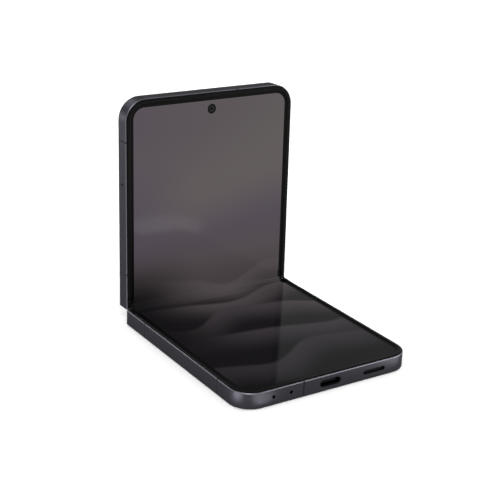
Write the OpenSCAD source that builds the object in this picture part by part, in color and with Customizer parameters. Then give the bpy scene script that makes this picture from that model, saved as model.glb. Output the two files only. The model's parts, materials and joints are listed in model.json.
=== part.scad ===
// Clamshell foldable phone, half open: lower half flat on its back, upper half standing.
// Each half is drawn by itself: x across, y away from the fold line, z up from its back.

/* [Body] */
// Width across both side rails
body_w = 75.2; // [72:0.1:80]
// Length of one half, from the fold line to its end
half_len = 83.35; // [82:0.05:90]
// Thickness of one half, from its back to the face of its frame
half_t = 6.3; // [6.2:0.05:7.2]
// Radius of the four outer corners
corner_r = 8.5; // [6:0.1:10]
// Angle between the two screens
open_angle = 91.5; // [60:0.5:170]
// Gap between the two frames when the phone is shut
shut_gap = 1.1; // [1:0.05:1.4]

/* [Frame] */
// Thickness of the side rails
rail_w = 1.7; // [1.5:0.05:2.2]
// Thickness of the rail at the far end of a half
end_rail_w = 1.9; // [1.5:0.05:2.5]
// Width of the rim around the bezel
rim_w = 0.65; // [0.6:0.05:1]
// Bright chamfer on the front edge
front_chamfer = 0.3; // [0.1:0.05:0.45]
// Chamfer on the back edge
back_chamfer = 0.35; // [0.1:0.05:0.5]
// Step of the back glass over the frame
glass_step = 0.1; // [0.05:0.01:0.2]
// Depth of the seat for the screen and its plate
seat_depth = 0.7; // [0.65:0.05:0.8]
// Thickness of the plate in the middle of the frame
midplate_t = 0.9; // [0.8:0.05:1.1]
// Width of an antenna break
break_w = 0.6; // [0.4:0.05:1]
// Depth of an antenna break into the rail
break_depth = 1.2; // [0.8:0.05:1.3]
// Distance from the fold to the near antenna break
break_near = 14.5; // [12:0.1:20]
// Distance from the end of a half to the far antenna break
break_inset = 16.05; // [14:0.05:18]
// Distance of the end antenna break from the middle
break_end_x = 11.7; // [9:0.1:13]

/* [Glass and screen] */
// Thickness of the glass on the outside
glass_t = 0.6; // [0.5:0.05:0.7]
// Distance from the side of the phone to the outside glass
glass_inset = 0.6; // [0.5:0.05:0.8]
// Thickness of the folding screen
screen_t = 0.35; // [0.3:0.01:0.4]
// Distance of the screen's face below the face of the frame
screen_drop = 0.1; // [0.05:0.01:0.15]
// Distance from the side of the phone to the lit screen
side_border = 3.15; // [2.8:0.05:3.6]
// Distance from the end of a half to the lit screen
end_border = 3.05; // [2.8:0.05:3.6]
// Length of the bend on each side of the fold
bend_len = 5; // [4.6:0.1:5.2]
// Height of the bezel over the frame
bezel_h = 0.3; // [0.1:0.05:0.4]
// Distance from the fold to the ends of the bezel
bezel_start = 4.2; // [3.9:0.1:5]

/* [Hinge] */
// Depth of the two fold axes below the face of the frame
axis_depth = 0.4; // [0.35:0.01:0.45]
// Depth of the outside of the spine below the face of the frame
spine_depth = 3.5; // [3.4:0.05:3.6]
// Radius of the spine's sides about the fold axes
spine_r = 4.5; // [4.4:0.05:4.6]
// Wall of the spine cover
spine_wall = 0.4; // [0.3:0.05:0.45]
// Gap between the spine and its pocket
pocket_gap = 0.15; // [0.1:0.01:0.2]
// Distance from the side of the phone to the end of the spine
spine_inset = 2; // [1.9:0.05:3]
// Distance from the fold line to the ends of the rails
rail_gap = 0.12; // [0.1:0.01:0.2]
// Inner radius of the curved foot of a hinge arm
foot_r1 = 1.7; // [1.6:0.05:1.8]
// Outer radius of the curved foot of a hinge arm
foot_r2 = 2.6; // [2.4:0.05:2.65]
// Running gap around the curved foot
foot_gap = 0.08; // [0.05:0.01:0.1]
// Width of a hinge arm
arm_w = 4; // [3:0.1:5]
// Distance from the middle to the nearer arm of each bracket
arm_x = 16; // [14:0.5:20]
// Distance between the two arms of one bracket
arm_step = 8; // [7:0.1:10]
// Distance from the fold to the end of a hinge arm
arm_end = 13.5; // [12:0.1:14]

/* [Ports] */
// Width of the charging port
usb_w = 9.2; // [8.6:0.1:9.4]
// Height of the charging port
usb_h = 2.8; // [2.6:0.05:2.9]
// Depth of the charging port
usb_l = 7.5; // [6.5:0.1:9]
// Depth of the port's centre line below the face of the frame
port_depth = 3; // [2.9:0.05:3.1]
// Width of the loudspeaker's slot
slot_w = 10; // [8:0.1:11]
// Height of the loudspeaker's slot
slot_h = 1.65; // [0.8:0.05:1.9]
// Distance of the loudspeaker's slot from the middle
slot_x = 19.75; // [18:0.1:21]
// Distance from the middle to the nearer microphone hole
mic_x = 17; // [14:0.1:18]
// Distance between the two microphone holes
mic_step = 7.4; // [6:0.1:9]
// Diameter of a microphone hole
mic_d = 1.4; // [0.8:0.05:1.6]

/* [Cameras] */
// Distance from the end of the upper half to the front camera
selfie_inset = 6.75; // [6.3:0.05:8]
// Radius of the hole over the front camera
selfie_r = 1.95; // [1.6:0.05:2.1]
// Radius of a rear camera's ring
ring_r = 5.5; // [5:0.1:6]
// Wall of a rear camera's ring
ring_wall = 1; // [0.8:0.05:1.4]
// Height of a rear camera's ring over the glass
ring_h = 1.1; // [0.6:0.05:1.6]
// Distance from the side of the phone to the outer rear camera
cam_side = 10.6; // [9.5:0.1:12]
// Distance between the two rear cameras
cam_step = 14.5; // [12:0.1:15]
// Distance from the end of the upper half to the rear cameras
cam_inset = 11.85; // [10.5:0.05:13]
// Radius of the flash
flash_r = 1.6; // [1.2:0.05:2]

/* [Keys and tray] */
// Length of the side key
side_key_l = 12; // [10:0.1:14]
// Gap between the two keys
key_step = 6; // [4:0.5:8]
// Length of the volume key
volume_key_l = 18; // [14:0.1:20]
// Gap between the volume key and the far antenna break
volume_key_gap = 6.3; // [4:0.1:9]
// Height of a key
key_h = 2.2; // [1.8:0.05:2.4]
// Height of a key over the rail
key_proud = 0.35; // [0.2:0.05:0.5]
// How far a key is pressed
key_travel = 0.25; // [0.15:0.01:0.3]
// Length of the tray's face
tray_l = 15; // [14:0.1:17]
// Gap between the tray's face and the far antenna break
tray_gap = 3.2; // [2:0.1:6]
// Height of the tray's face
tray_h = 1.9; // [1.6:0.05:2.1]
// Depth of the tray into the phone
tray_depth = 15; // [13:0.1:18]
// Diameter of the tray's pin hole
pin_d = 1.1; // [0.8:0.05:1.2]

/* [Hidden] */
$fn = 64;

fit = 0.05;                                    // clearance of a glued or seated piece
over = 1;                                      // how far a cutter passes a face
lap = 1;                                       // how far joined shapes run into each other
half_w = body_w / 2;
fold_turn = (180 - open_angle) / 2;            // turn of each fold axis from flat
axis_y = axis_depth + shut_gap / 2;            // fold axis to fold line
axis_z = half_t - axis_depth;
seat_z = half_t - seat_depth;                  // floor of the screen's seat
screen_z = half_t - screen_drop;               // face of the screen
mid_z = seat_z - midplate_t;                   // underside of the mid-plate
port_z = half_t - port_depth;
slot_z = port_z - 0.1;                         // centre of the loudspeaker's slot
inner_w = half_w - rail_w;                     // half width of the inside
inner_end = half_len - end_rail_w;
glass_w = half_w - glass_inset;                // half width of the outside glass's seat
glass_y0 = 1.2;                                // fold line to the outside glass's seat
glass_y1 = half_len - glass_inset;
glass_mid_y = (glass_y0 + glass_y1) / 2;
seat_w = half_w - rim_w;                       // half width of the screen's seat
seat_end = half_len - rim_w;
lip_w = half_w - side_border;                  // inner edge of the bezel
screen_end = half_len - end_border;
bezel_foot = 1;                                // width of the bezel's foot around the screen panel
panel_w = seat_w - bezel_foot;                 // half width of the screen panel under the bezel
panel_end = seat_end - bezel_foot;
panel_r = corner_r - rim_w - bezel_foot;
bend_w = lip_w + 0.3;                          // half width of the bending strip
break_far = half_len - break_inset;            // fold line to the far antenna break
spine_len = body_w - 2 * spine_inset;
pocket_r = spine_r + pocket_gap;
pocket_x = spine_len / 2 + pocket_gap;
cavity_y0 = axis_y + pocket_r + rail_w / 3;    // inside starts past the hinge pocket
spine_z = half_t - spine_depth;                // outside face of the spine
spine_in_r = spine_r - spine_wall;
spine_in_z = spine_z + spine_wall;
spine_top_z = half_t - 1.3;                    // top edges of the spine's sides
neck_y = axis_y + spine_in_r;                  // inner face of the spine's side, level with the axis
bracket_top_z = half_t - 0.65;
bracket_w = neck_y - 1.2;                      // half width of a bracket
bracket_end = 2;                               // room for a screw at each end of a bracket
bracket_l = arm_step + arm_w + 2 * bracket_end;
bracket_mid = arm_x + arm_step / 2;
arm_t = 0.45;
arm_z = seat_z - arm_t;
arm_screw_y = arm_end - 2;
neck_low = axis_z - foot_r2 + 0.4;             // lower edge of an arm's neck
neck_high = axis_z - foot_r1 + 0.15;           // upper edge of an arm's neck
foot_from = 195;                               // angles of the ends of an arm's curved foot
foot_to = 313;
bezel_top = half_t + bezel_h;
bezel_out = seat_w - fit;
bezel_end = seat_end - fit;
board_t = 0.8;
board_z = mid_z - board_t;                     // lower face of the boards
part_gap = 0.3;                                // gap between pieces inside a half
screw_r = 0.6;
screw_head_r = 1;
screw_head_t = 0.5;
coil_t = 0.3;
inside_z = glass_t + coil_t;                   // clear height over the back glass and its coil
cover_screen_t = 0.6;
cover_z = glass_t + cover_screen_t;            // inside starts over the cover screen

// the lower half's pieces
usb_mouth = half_len - 0.3;
usb_wall = 0.25;
usb_feet = 2;
tongue_gap = 1.2;                              // side of the port to the tongue in it
board_l = 17.25;
board_y1 = inner_end - 0.2;
board_y0 = board_y1 - board_l;
board_screw_y = board_y0 + 3;
mic_z = port_z + 0.1;
mic_can = 3;                                   // side of a microphone's can
speaker_x0 = slot_x - slot_w / 2 - 3;
speaker_x1 = inner_w - 1.5;
speaker_y1 = inner_end - 0.8;
speaker_lip = 0.5;                             // wall of the loudspeaker's mouth over its slot
battery_y0 = arm_end + 1;
battery_y1 = board_y0 - 1.5;
coil_r = 20;
coil_hole_r = 11;
coil_lead_w = 8;
motor_w = 8;
motor_l = 7.5;
bracket_screw_l = 0.5;
leaf_t = foot_gap - 0.02;                      // thickness of a friction leaf
flex_w = 10;                                   // width of the ribbon under the fold

// the upper half's pieces
cam_x = half_w - cam_side - cam_step;          // middle to the nearer rear camera
cam_y = half_len - cam_inset;
cams = [[cam_x, cam_y], [cam_x + cam_step, cam_y]];
cam_box = 5.2;                                 // half width of a rear camera's body
lens_t = 0.5;
flash_pos = [cam_x - ring_r - 5, cam_y];
selfie_y = half_len - selfie_inset;
selfie_box = 3;                                // half width of the front camera's body
upper_screw_y = arm_end + 4;
volume_key_y = break_far - volume_key_gap - volume_key_l / 2;
side_key_y = volume_key_y - (volume_key_l + side_key_l) / 2 - key_step;
key_slot_z = (cover_z + mid_z) / 2 + 0.15;
flange = 0.5;
flange_t = 0.4;
tray_y = break_far - tray_gap - tray_l / 2;
tray_z = port_z - 0.1;
tray_face = 1;                                 // thickness of the tray's face
tray_t = 0.8;                                  // thickness of the tray behind its face
reader_drop = 0.9;                             // tray's middle to the underside of its cage
reader_wall = 0.3;
reader_x1 = tray_depth + 2 - half_w;           // inner end of the tray's cage
can_z = cover_z + part_gap;                    // lower face of the shield cans
can_gap = 1;
can_x0 = reader_x1 + 3.1;
can_x1 = -2;
can_start = 8;                                 // hinge arms to the shield cans
can_y0 = arm_end + can_start;
can_y1 = selfie_y - selfie_box - 6.1;
can_l = (can_y1 - can_y0 - can_gap) / 2;       // length of each of the two cans in a row
earpiece_w = 12;
earpiece_l = 3.8;
switch_w = 3;
switch_h = 1.6;

GRAPHITE = [0.27, 0.27, 0.31];
BLACK = [0.04, 0.04, 0.045];
BREAK = [0.18, 0.18, 0.21];
STEEL = [0.62, 0.63, 0.66];
BOARD = [0.05, 0.22, 0.16];
COPPER = [0.72, 0.42, 0.24];

// ---- places: the lower half, the spine and the upper half ----

module in_row() translate([0, glass_mid_y, 0]) children();
module about_axis(y, turn)
    translate([0, y, axis_z]) rotate([turn, 0, 0]) translate([0, -y, -axis_z]) children();
module lower() in_row() mirror([0, 1, 0]) children();
module spine() in_row() about_axis(-axis_y, fold_turn) children();
module upper() in_row() about_axis(-axis_y, fold_turn) about_axis(axis_y, fold_turn) children();

// ---- shapes used by many pieces ----

// A flat outline in (y, z) carried from x0 to x1
module along_x(x0, x1) translate([x0, 0, 0]) rotate([90, 0, 90]) linear_extrude(x1 - x0) children();

// A plate, square at the fold and rounded at its far end, with chamfers on its back and front edges
module slab(w, y0, y1, z0, z1, r, cb = 0, cf = 0) {
    translate([0, y1 - r, 0]) rotate([90, 0, 0]) linear_extrude(y1 - r - y0)
        polygon([[-w + cb, z0], [w - cb, z0], [w, z0 + cb], [w, z1 - cf],
                 [w - cf, z1], [cf - w, z1], [-w, z1 - cf], [-w, z0 + cb]]);
    for (side = [-1, 1]) translate([side * (w - r), y1 - r, 0]) rotate_extrude()
        polygon([[0, z0], [r - cb, z0], [r, z0 + cb], [r, z1 - cf], [r - cf, z1], [0, z1]]);
    strip_y = y1 - r - lap;
    along_x(r - w, w - r)
        polygon([[strip_y, z0], [y1 - cb, z0], [y1, z0 + cb], [y1, z1 - cf], [y1 - cf, z1], [strip_y, z1]]);
}

// A box from its two corners
module box(a, b) translate(a) cube(b - a);

// A slot with round ends through the end rail: width w, height h, centred on x and z
module end_slot(x, z, w, h, y0, y1) translate([x, y1, z]) rotate([90, 0, 0]) linear_extrude(y1 - y0) {
    square([w - h, h], center = true);
    for (side = [-1, 1]) translate([side * (w - h) / 2, 0]) circle(d = h);
}

// A slot with round ends through a side rail, from x0 to x1
module side_slot(y, z, l, h, x0, x1) along_x(x0, x1) {
    translate([y, z]) square([l - h, h], center = true);
    for (side = [-1, 1]) translate([y + side * (l - h) / 2, z]) circle(d = h);
}

// ---- pieces that both halves have ----

// Places of the arms: a half has one arm on each bracket, the lower half's further out
function arm_places(lower_half) = [for (side = [-1, 1]) side * (arm_x + (lower_half ? arm_step : 0))];
function screw_places() = [for (dx = [-1, 1]) dx * arm_w / 4];
function lower_screw_x() = [-inner_w + 3, -8];
function upper_screw_x() = [-inner_w + 3, -6];

module rail_blank() difference() {
    slab(half_w, rail_gap, half_len, glass_step, half_t, corner_r, back_chamfer, front_chamfer);
    slab(seat_w, -over, seat_end, seat_z, half_t + over, corner_r - rim_w);
    slab(glass_w, glass_y0, glass_y1, -over, glass_t, corner_r - glass_inset);
    slab(inner_w, cavity_y0, inner_end, glass_t - over, mid_z, corner_r - rail_w);
    along_x(-pocket_x, pocket_x) translate([axis_y, axis_z]) circle(pocket_r);
}

// Antenna breaks: end_side puts the one in the end rail left (-1) or right (1)
module breaks(end_side) {
    deep = 2 * (break_depth + over);
    for (side = [-1, 1], y = [break_near, break_far])
        translate([side * (half_w + over), y, half_t / 2]) cube([deep, break_w, 3 * half_t], center = true);
    translate([end_side * break_end_x, half_len + over, half_t / 2])
        cube([break_w, deep, 3 * half_t], center = true);
}

module half_frame(lower_half, end_side) difference() {
    rail_blank();
    breaks(end_side);
    for (x = arm_places(lower_half)) {
        box([x - arm_w / 2 - fit, 0, arm_z], [x + arm_w / 2 + fit, arm_end + fit, half_t]);
        for (dx = screw_places()) screw_hole(x + dx, arm_screw_y, mid_z, midplate_t);
    }
}

module screw_hole(x, y, z, thick)
    translate([x, y, z - over]) cylinder(r = screw_r + fit, h = thick + 2 * over);

module antenna_strips(end_side) intersection() {
    rail_blank();
    breaks(end_side);
}

module support_plate() slab(panel_w, bend_len, panel_end, seat_z, screen_z - screen_t, panel_r);

module screen_panel() slab(panel_w, bend_len, panel_end, screen_z - screen_t, screen_z, panel_r);

module bezel() {
    lip_r = corner_r - rim_w - (seat_w - lip_w);
    difference() {
        slab(bezel_out, bezel_start, bezel_end, screen_z, bezel_top, corner_r - rim_w - fit, 0, bezel_h / 2);
        slab(lip_w, bezel_start - over, screen_end, screen_z - over, bezel_top + over, lip_r);
    }
    difference() {
        slab(bezel_out, bezel_start, bezel_end, seat_z, screen_z, corner_r - rim_w - fit);
        slab(panel_w + fit, bezel_start - over, panel_end + fit, seat_z - over, screen_z + over,
             panel_r + fit);
        box([-pocket_x, bezel_start - over, seat_z - over], [pocket_x, bend_len + 1, screen_z]);
    }
}

// The space inside the rails, a little smaller, for pieces with a rounded corner
module inside_slab(z0, z1)
    slab(inner_w - part_gap, cavity_y0, board_y1, z0, z1, corner_r - rail_w - part_gap);

// Small covers at the hinge ends of the bezel, on the rails, with a rounded top
module hinge_caps() for (side = [-1, 1]) {
    x0 = pocket_x + fit;
    cap_w = bezel_out - x0 - 0.1;
    y0 = 0.8;
    y1 = bezel_start - 0.6;
    top = bezel_top - 0.25;
    round_r = 0.3;
    translate([side * (x0 + cap_w / 2), 0, 0]) along_x(-cap_w / 2, cap_w / 2) {
        translate([y0, seat_z]) square([y1 - y0, top - round_r - seat_z]);
        translate([y0 + round_r, seat_z]) square([y1 - y0 - 2 * round_r, top - seat_z]);
        for (y = [y0 + round_r, y1 - round_r]) translate([y, top - round_r]) circle(round_r);
    }
}

// A hinge arm: a curved foot about the fold axis, a neck over the spine's edge and a screwed plate
module arm_outline() {
    translate([axis_y, axis_z]) intersection() {
        difference() {
            circle(foot_r2);
            circle(foot_r1);
        }
        wedge(foot_from, foot_to);
    }
    polygon([[axis_y + 0.75, neck_low], [neck_y - 1.45, neck_low], [neck_y - 0.55, neck_low + 0.9],
             [neck_y - 0.3, arm_z], [arm_end, arm_z], [arm_end, seat_z], [neck_y - 0.15, seat_z],
             [neck_y - 0.7, seat_z - 0.2], [neck_y - 1.2, arm_z - 0.1], [neck_y - 2.05, neck_high + 0.15],
             [axis_y + 0.95, neck_high]]);
}

// The part of a ring's outline between two angles that lies below its centre
module wedge(from, to) {
    far = 2 * spine_depth;
    polygon([[0, 0], far * [cos(to), sin(to)], [far * cos(to), -far], [-far, -far],
             far * [cos(from), sin(from)]]);
}

module hinge_arms(lower_half) difference() {
    for (x = arm_places(lower_half)) along_x(x - arm_w / 2, x + arm_w / 2) arm_outline();
    for (x = arm_places(lower_half), dx = screw_places()) screw_hole(x + dx, arm_screw_y, arm_z, arm_t);
}

// A screw with its head under a face at z
module screw(x, y, z) {
    translate([x, y, z - screw_head_t]) cylinder(r = screw_head_r, h = screw_head_t);
    translate([x, y, z]) cylinder(r = screw_r, h = seat_z - fit - z);
}

module arm_screws(lower_half) for (x = arm_places(lower_half), dx = screw_places())
    screw(x + dx, arm_screw_y, mid_z);

// ---- lower half ----

module lower_frame() color(GRAPHITE) lower() difference() {
    half_frame(true, -1);
    end_slot(0, port_z, usb_w, usb_h, inner_end - over, half_len + over);
    end_slot(slot_x, slot_z, slot_w, slot_h, inner_end - over, half_len + over);
    for (k = [0, 1]) translate([-mic_x - k * mic_step, half_len + over, mic_z]) rotate([90, 0, 0])
        cylinder(d = mic_d, h = end_rail_w + 2 * over);
    for (x = lower_screw_x()) screw_hole(x, board_screw_y, mid_z, midplate_t);
}

module lower_antenna_breaks() color(BREAK) lower() antenna_strips(-1);

module lower_back_glass() color(GRAPHITE) lower()
    slab(glass_w - fit, glass_y0 + fit, glass_y1 - fit, 0, glass_t, corner_r - glass_inset - fit, 0.15);

module lower_support_plate() color(STEEL) lower() support_plate();

module lower_screen() color([0.14, 0.135, 0.145]) lower() screen_panel();

module lower_bezel() color(BLACK) lower() bezel();

module lower_hinge_caps() color(BLACK) lower() hinge_caps();

module lower_battery() color([0.1, 0.1, 0.11]) lower()
    box([-inner_w + 1, battery_y0, inside_z], [inner_w - 1, battery_y1, mid_z]);

// Flat ring of wire between the battery and the back glass, with its lead to the board
module charging_coil() color(COPPER) lower() {
    coil_y = (battery_y0 + battery_y1) / 2;
    translate([0, coil_y, glass_t]) difference() {
        cylinder(r = coil_r, h = coil_t);
        translate([0, 0, -over]) cylinder(r = coil_hole_r, h = coil_t + 2 * over);
    }
    box([-coil_lead_w / 2, coil_y + coil_r - lap, glass_t], [coil_lead_w / 2, battery_y1, inside_z]);
}

module lower_board() color(BOARD) lower() difference() {
    intersection() {
        box([-inner_w, board_y0, board_z], [speaker_x0 - 0.5, board_y1, mid_z]);
        inside_slab(board_z, mid_z);
    }
    box([-usb_w / 2 - part_gap, usb_mouth - usb_l - part_gap, board_z - over],
        [usb_w / 2 + part_gap, board_y1 + over, mid_z + over]);
    for (x = lower_screw_x()) screw_hole(x, board_screw_y, board_z, board_t);
}

// Shell of the socket with its tongue, and feet that carry it on the board
module usb_port() color(STEEL) lower() {
    difference() {
        end_slot(0, port_z, usb_w - 2 * fit, usb_h - 2 * fit, usb_mouth - usb_l, usb_mouth);
        end_slot(0, port_z, usb_w - 2 * fit - 2 * usb_wall, usb_h - 2 * fit - 2 * usb_wall,
                 usb_mouth - usb_l + 2 * usb_wall, usb_mouth + over);
    }
    tongue_w = usb_w - 2 * tongue_gap;
    box([-tongue_w / 2, usb_mouth - usb_l + usb_wall, port_z - usb_h / 8],
        [tongue_w / 2, usb_mouth - 1, port_z + usb_h / 8]);
    for (side = [-1, 1])
        translate([side * (usb_w / 2 + 0.7), usb_mouth - usb_l + usb_feet, (port_z + board_z) / 2])
            cube([usb_feet, usb_feet, board_z - port_z], center = true);
}

module loudspeaker() color(BLACK) lower() {
    intersection() {
        box([speaker_x0, board_y0, inside_z], [speaker_x1, speaker_y1, mid_z]);
        inside_slab(inside_z, mid_z);
    }
    box([slot_x - slot_w / 2, speaker_y1 - over, slot_z - slot_h / 2 - speaker_lip],
        [slot_x + slot_w / 2, inner_end - 0.1, slot_z + slot_h / 2 + speaker_lip]);
}

module speaker_mesh() color([0.12, 0.12, 0.13]) lower()
    end_slot(slot_x, slot_z, slot_w - 2 * fit, slot_h - 2 * fit, inner_end - 0.1, half_len - 0.8);

// Two small cans under the board, each behind its hole
module microphones() color(STEEL) lower() for (k = [0, 1])
    translate([-mic_x - k * mic_step, 0, 0])
        box([-mic_can / 2, inner_end - fit - mic_can, mic_z - 0.9], [mic_can / 2, inner_end - fit, board_z]);

module vibration_motor() color(STEEL) lower()
    box([-inner_w + 1, board_screw_y + 2.5, inside_z + 0.1],
        [-inner_w + 1 + motor_w, board_screw_y + 2.5 + motor_l, board_z]);

module lower_screws() color(STEEL) lower() {
    arm_screws(true);
    for (x = lower_screw_x()) screw(x, board_screw_y, board_z);
}

module lower_hinge_arms() color(STEEL) lower() hinge_arms(true);

// ---- hinge ----

module spine_outline(r, floor_z) intersection() {
    union() for (side = [-1, 1]) translate([side * axis_y, axis_z]) circle(r);
    translate([-spine_depth * 2, floor_z]) square([spine_depth * 4, spine_top_z - floor_z]);
}

module spine_cover() color([0.24, 0.24, 0.28]) spine()
    along_x(-spine_len / 2 + spine_wall, spine_len / 2 - spine_wall) difference() {
        union() {
            spine_outline(spine_r, spine_z);
            translate([-axis_y, spine_z]) square([2 * axis_y, spine_wall]);
        }
        translate([0, over / 1000]) spine_outline(spine_in_r, spine_in_z);
        translate([-bracket_w, spine_in_z]) square([2 * bracket_w, spine_depth]);
    }

// Thin caps that close the two ends of the spine
module spine_end_caps() color(BLACK) spine() for (side = [-1, 1])
    translate([side * (spine_len - spine_wall) / 2, 0, 0]) along_x(-spine_wall / 2, spine_wall / 2)
        spine_outline(spine_r, spine_z);

// Block with a curved groove for each arm's foot, open on the side the arm swings to
module hinge_bracket(side) difference() {
    x0 = side * bracket_mid - bracket_l / 2;
    along_x(x0, x0 + bracket_l) translate([-bracket_w, spine_in_z])
        square([2 * bracket_w, bracket_top_z - spine_in_z]);
    arm_cut(side * (arm_x + arm_step), -1);
    arm_cut(side * arm_x, 1);
    for (x = bracket_screw_x(side)) translate([x, 0, spine_in_z - over])
        cylinder(r = screw_r, h = over + bracket_screw_l + 0.1);
}

function bracket_screw_x(side) = [for (dx = [-1, 1]) side * bracket_mid + dx * (bracket_l - bracket_end) / 2];

module arm_cut(x, half) along_x(x - arm_w / 2 - fit, x + arm_w / 2 + fit) {
    translate([half * axis_y, axis_z]) difference() {
        circle(foot_r2 + foot_gap);
        circle(foot_r1 - foot_gap);
    }
    corner = half < 0 ? -2 * bracket_w : axis_y;
    translate([corner, neck_low - foot_gap]) square([2 * bracket_w - axis_y, 2 * spine_depth]);
}

module left_hinge_bracket() color(STEEL) spine() hinge_bracket(-1);
module right_hinge_bracket() color(STEEL) spine() hinge_bracket(1);

// Curved leaves in the brackets that rub on the arms' feet and hold the phone at any angle
module friction_leaves() color(COPPER) spine() for (side = [-1, 1], half = [-1, 1])
    leaf(side * (half < 0 ? arm_x + arm_step : arm_x), half);

module leaf(x, half) along_x(x - arm_w / 4, x + arm_w / 4)
    translate([half * axis_y, axis_z]) intersection() {
        difference() {
            circle(foot_r1 - foot_gap + leaf_t);
            circle(foot_r1 - foot_gap);
        }
        far = 2 * foot_r1;
        polygon([[0, 0], [0, -far], [-half * far, -far], [-half * far, -0.6 * far]]);
    }

// Channel between the brackets that carries the bend of the screen and its ribbon
module spine_liner() color(STEEL) spine() {
    liner_x = bracket_mid - bracket_l / 2 - fit;
    top = half_t - 0.8;
    wall = 0.4;
    roof = 0.3;
    along_x(-liner_x, liner_x) difference() {
        translate([-bracket_w, spine_in_z]) square([2 * bracket_w, top - spine_in_z]);
        translate([-bracket_w + wall, spine_in_z - over])
            square([2 * (bracket_w - wall), top - roof - spine_in_z + over]);
    }
}

module bracket_screws() color(STEEL) spine() for (side = [-1, 1], x = bracket_screw_x(side))
    translate([x, 0, spine_in_z + 0.02]) cylinder(r = screw_r - 0.02, h = bracket_screw_l);

// The bend: each point turns about its half's fold axis, all of the turn at bend_len and none at the fold
function ease(t) = t * t * (3 - 2 * t);
function bend_at(s, z) = let (
        turn = fold_turn * ease(s / bend_len),
        y = s - axis_y,
        h = z - axis_z
    ) [axis_y + y * cos(turn) - h * sin(turn), axis_z + y * sin(turn) + h * cos(turn)];
function flip_y(p) = [-p[0], p[1]];

module bent_sheet(w, z0, z1, reach) {
    steps = 16;
    s = [for (i = [0:steps]) reach * i / steps];
    up0 = [for (v = s) bend_at(v, z0)];
    up1 = [for (v = s) bend_at(v, z1)];
    along_x(-w, w) polygon(concat(
        [for (i = [steps:-1:1]) flip_y(up0[i])], up0,
        [for (i = [steps:-1:0]) up1[i]], [for (i = [1:steps]) flip_y(up1[i])]));
}

module fold_screen() color([0.3, 0.29, 0.3]) spine()
    bent_sheet(bend_w, screen_z - screen_t + fit, screen_z, bend_len);

module fold_flex() color(COPPER) spine()
    bent_sheet(flex_w / 2, screen_z - screen_t - 0.2, screen_z - screen_t - fit, bend_len);

// ---- upper half ----

module upper_frame() color(GRAPHITE) upper() difference() {
    half_frame(false, 1);
    translate([0, selfie_y, mid_z - over]) cylinder(r = selfie_r + 0.2, h = midplate_t + 2 * over);
    for (key = [[side_key_y, side_key_l], [volume_key_y, volume_key_l]]) {
        side_slot(key[0], key_slot_z, key[1] + 2 * fit, key_h + 2 * fit, inner_w - over, half_w + over);
        side_slot(key[0], key_slot_z, key[1] + 2 * flange + 2 * fit, key_h + 2 * flange + 2 * fit,
                  inner_w - over, inner_w + flange_t + 2 * fit);
    }
    side_slot(tray_y, tray_z, tray_l + 2 * fit, tray_h + 2 * fit, -half_w - over, -inner_w + over);
    for (x = upper_screw_x()) screw_hole(x, upper_screw_y, mid_z, midplate_t);
}

module upper_antenna_breaks() color(BREAK) upper() antenna_strips(1);

module camera_holes(r, z0, z1) for (c = cams) translate([c[0], c[1], z0]) cylinder(r = r, h = z1 - z0);

module cover_glass() color([0.05, 0.05, 0.06]) upper() difference() {
    slab(glass_w - fit, glass_y0 + fit, glass_y1 - fit, 0, glass_t, corner_r - glass_inset - fit, 0.15);
    camera_holes(ring_r + fit, -over, glass_t + over);
    translate([flash_pos[0], flash_pos[1], -over]) cylinder(r = flash_r + fit, h = glass_t + 2 * over);
}

module cover_screen() color([0.02, 0.02, 0.03]) upper() difference() {
    slab(inner_w - 0.5, cavity_y0 + 0.5, inner_end - 0.5, glass_t, cover_z, corner_r - rail_w - 0.5);
    camera_holes(ring_r + part_gap, glass_t - over, cover_z + over);
    translate([flash_pos[0], flash_pos[1], glass_t - over])
        cylinder(r = flash_r + part_gap, h = cover_screen_t + 2 * over);
}

module selfie_hole(z0, z1) translate([0, selfie_y, z0 - over]) cylinder(r = selfie_r, h = z1 - z0 + 2 * over);

module upper_support_plate() color(STEEL) upper() difference() {
    support_plate();
    selfie_hole(seat_z, screen_z);
}

module upper_screen() color([0.33, 0.31, 0.35]) upper() difference() {
    screen_panel();
    selfie_hole(seat_z, screen_z);
}

module upper_bezel() color(BLACK) upper() bezel();

module upper_hinge_caps() color(BLACK) upper() hinge_caps();

module upper_battery() color([0.1, 0.1, 0.11]) upper()
    box([1, battery_y0, cover_z + 0.1], [inner_w - 2.6, cam_y - ring_r - 3.5, mid_z]);

// Board along the left side and across the top, cut back around the cameras and the earpiece
module main_board() color(BOARD) upper() difference() {
    union() {
        box([-inner_w + part_gap, battery_y0, board_z], [0, inner_end - 6.5, mid_z]);
        box([-inner_w + 6, battery_y0, board_z], [-5, inner_end - 0.5, mid_z]);
    }
    box([-selfie_box - part_gap, selfie_y - selfie_box - part_gap, board_z - over],
        [selfie_box + part_gap, selfie_y + selfie_box + part_gap, mid_z + over]);
    for (x = upper_screw_x()) screw_hole(x, upper_screw_y, board_z, board_t);
}

// Two cans beside the battery, and a long one between them and the rail, short of the tray's cage
module shield_cans() color(STEEL) upper() {
    for (k = [0, 1]) translate([can_x0, can_y0 + k * (can_l + can_gap), can_z])
        cube([can_x1 - can_x0, can_l, board_z - can_z]);
    box([-inner_w + 1.2, can_y0, can_z], [can_x0 - can_gap, tray_y - tray_l / 2 - 3, board_z]);
}

module front_camera() color(BLACK) upper() {
    box([-selfie_box, selfie_y - selfie_box, mid_z - 2.6], [selfie_box, selfie_y + selfie_box, mid_z]);
    translate([0, selfie_y, mid_z]) cylinder(r = selfie_r - 0.1, h = screen_z - 0.1 - mid_z);
}

module rear_camera(c) color(BLACK) upper() {
    box([c[0] - cam_box, c[1] - cam_box, cover_z + fit], [c[0] + cam_box, c[1] + cam_box, mid_z]);
    translate([c[0], c[1], 0.1]) cylinder(r = ring_r - ring_wall - part_gap, h = cover_z);
}

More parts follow.
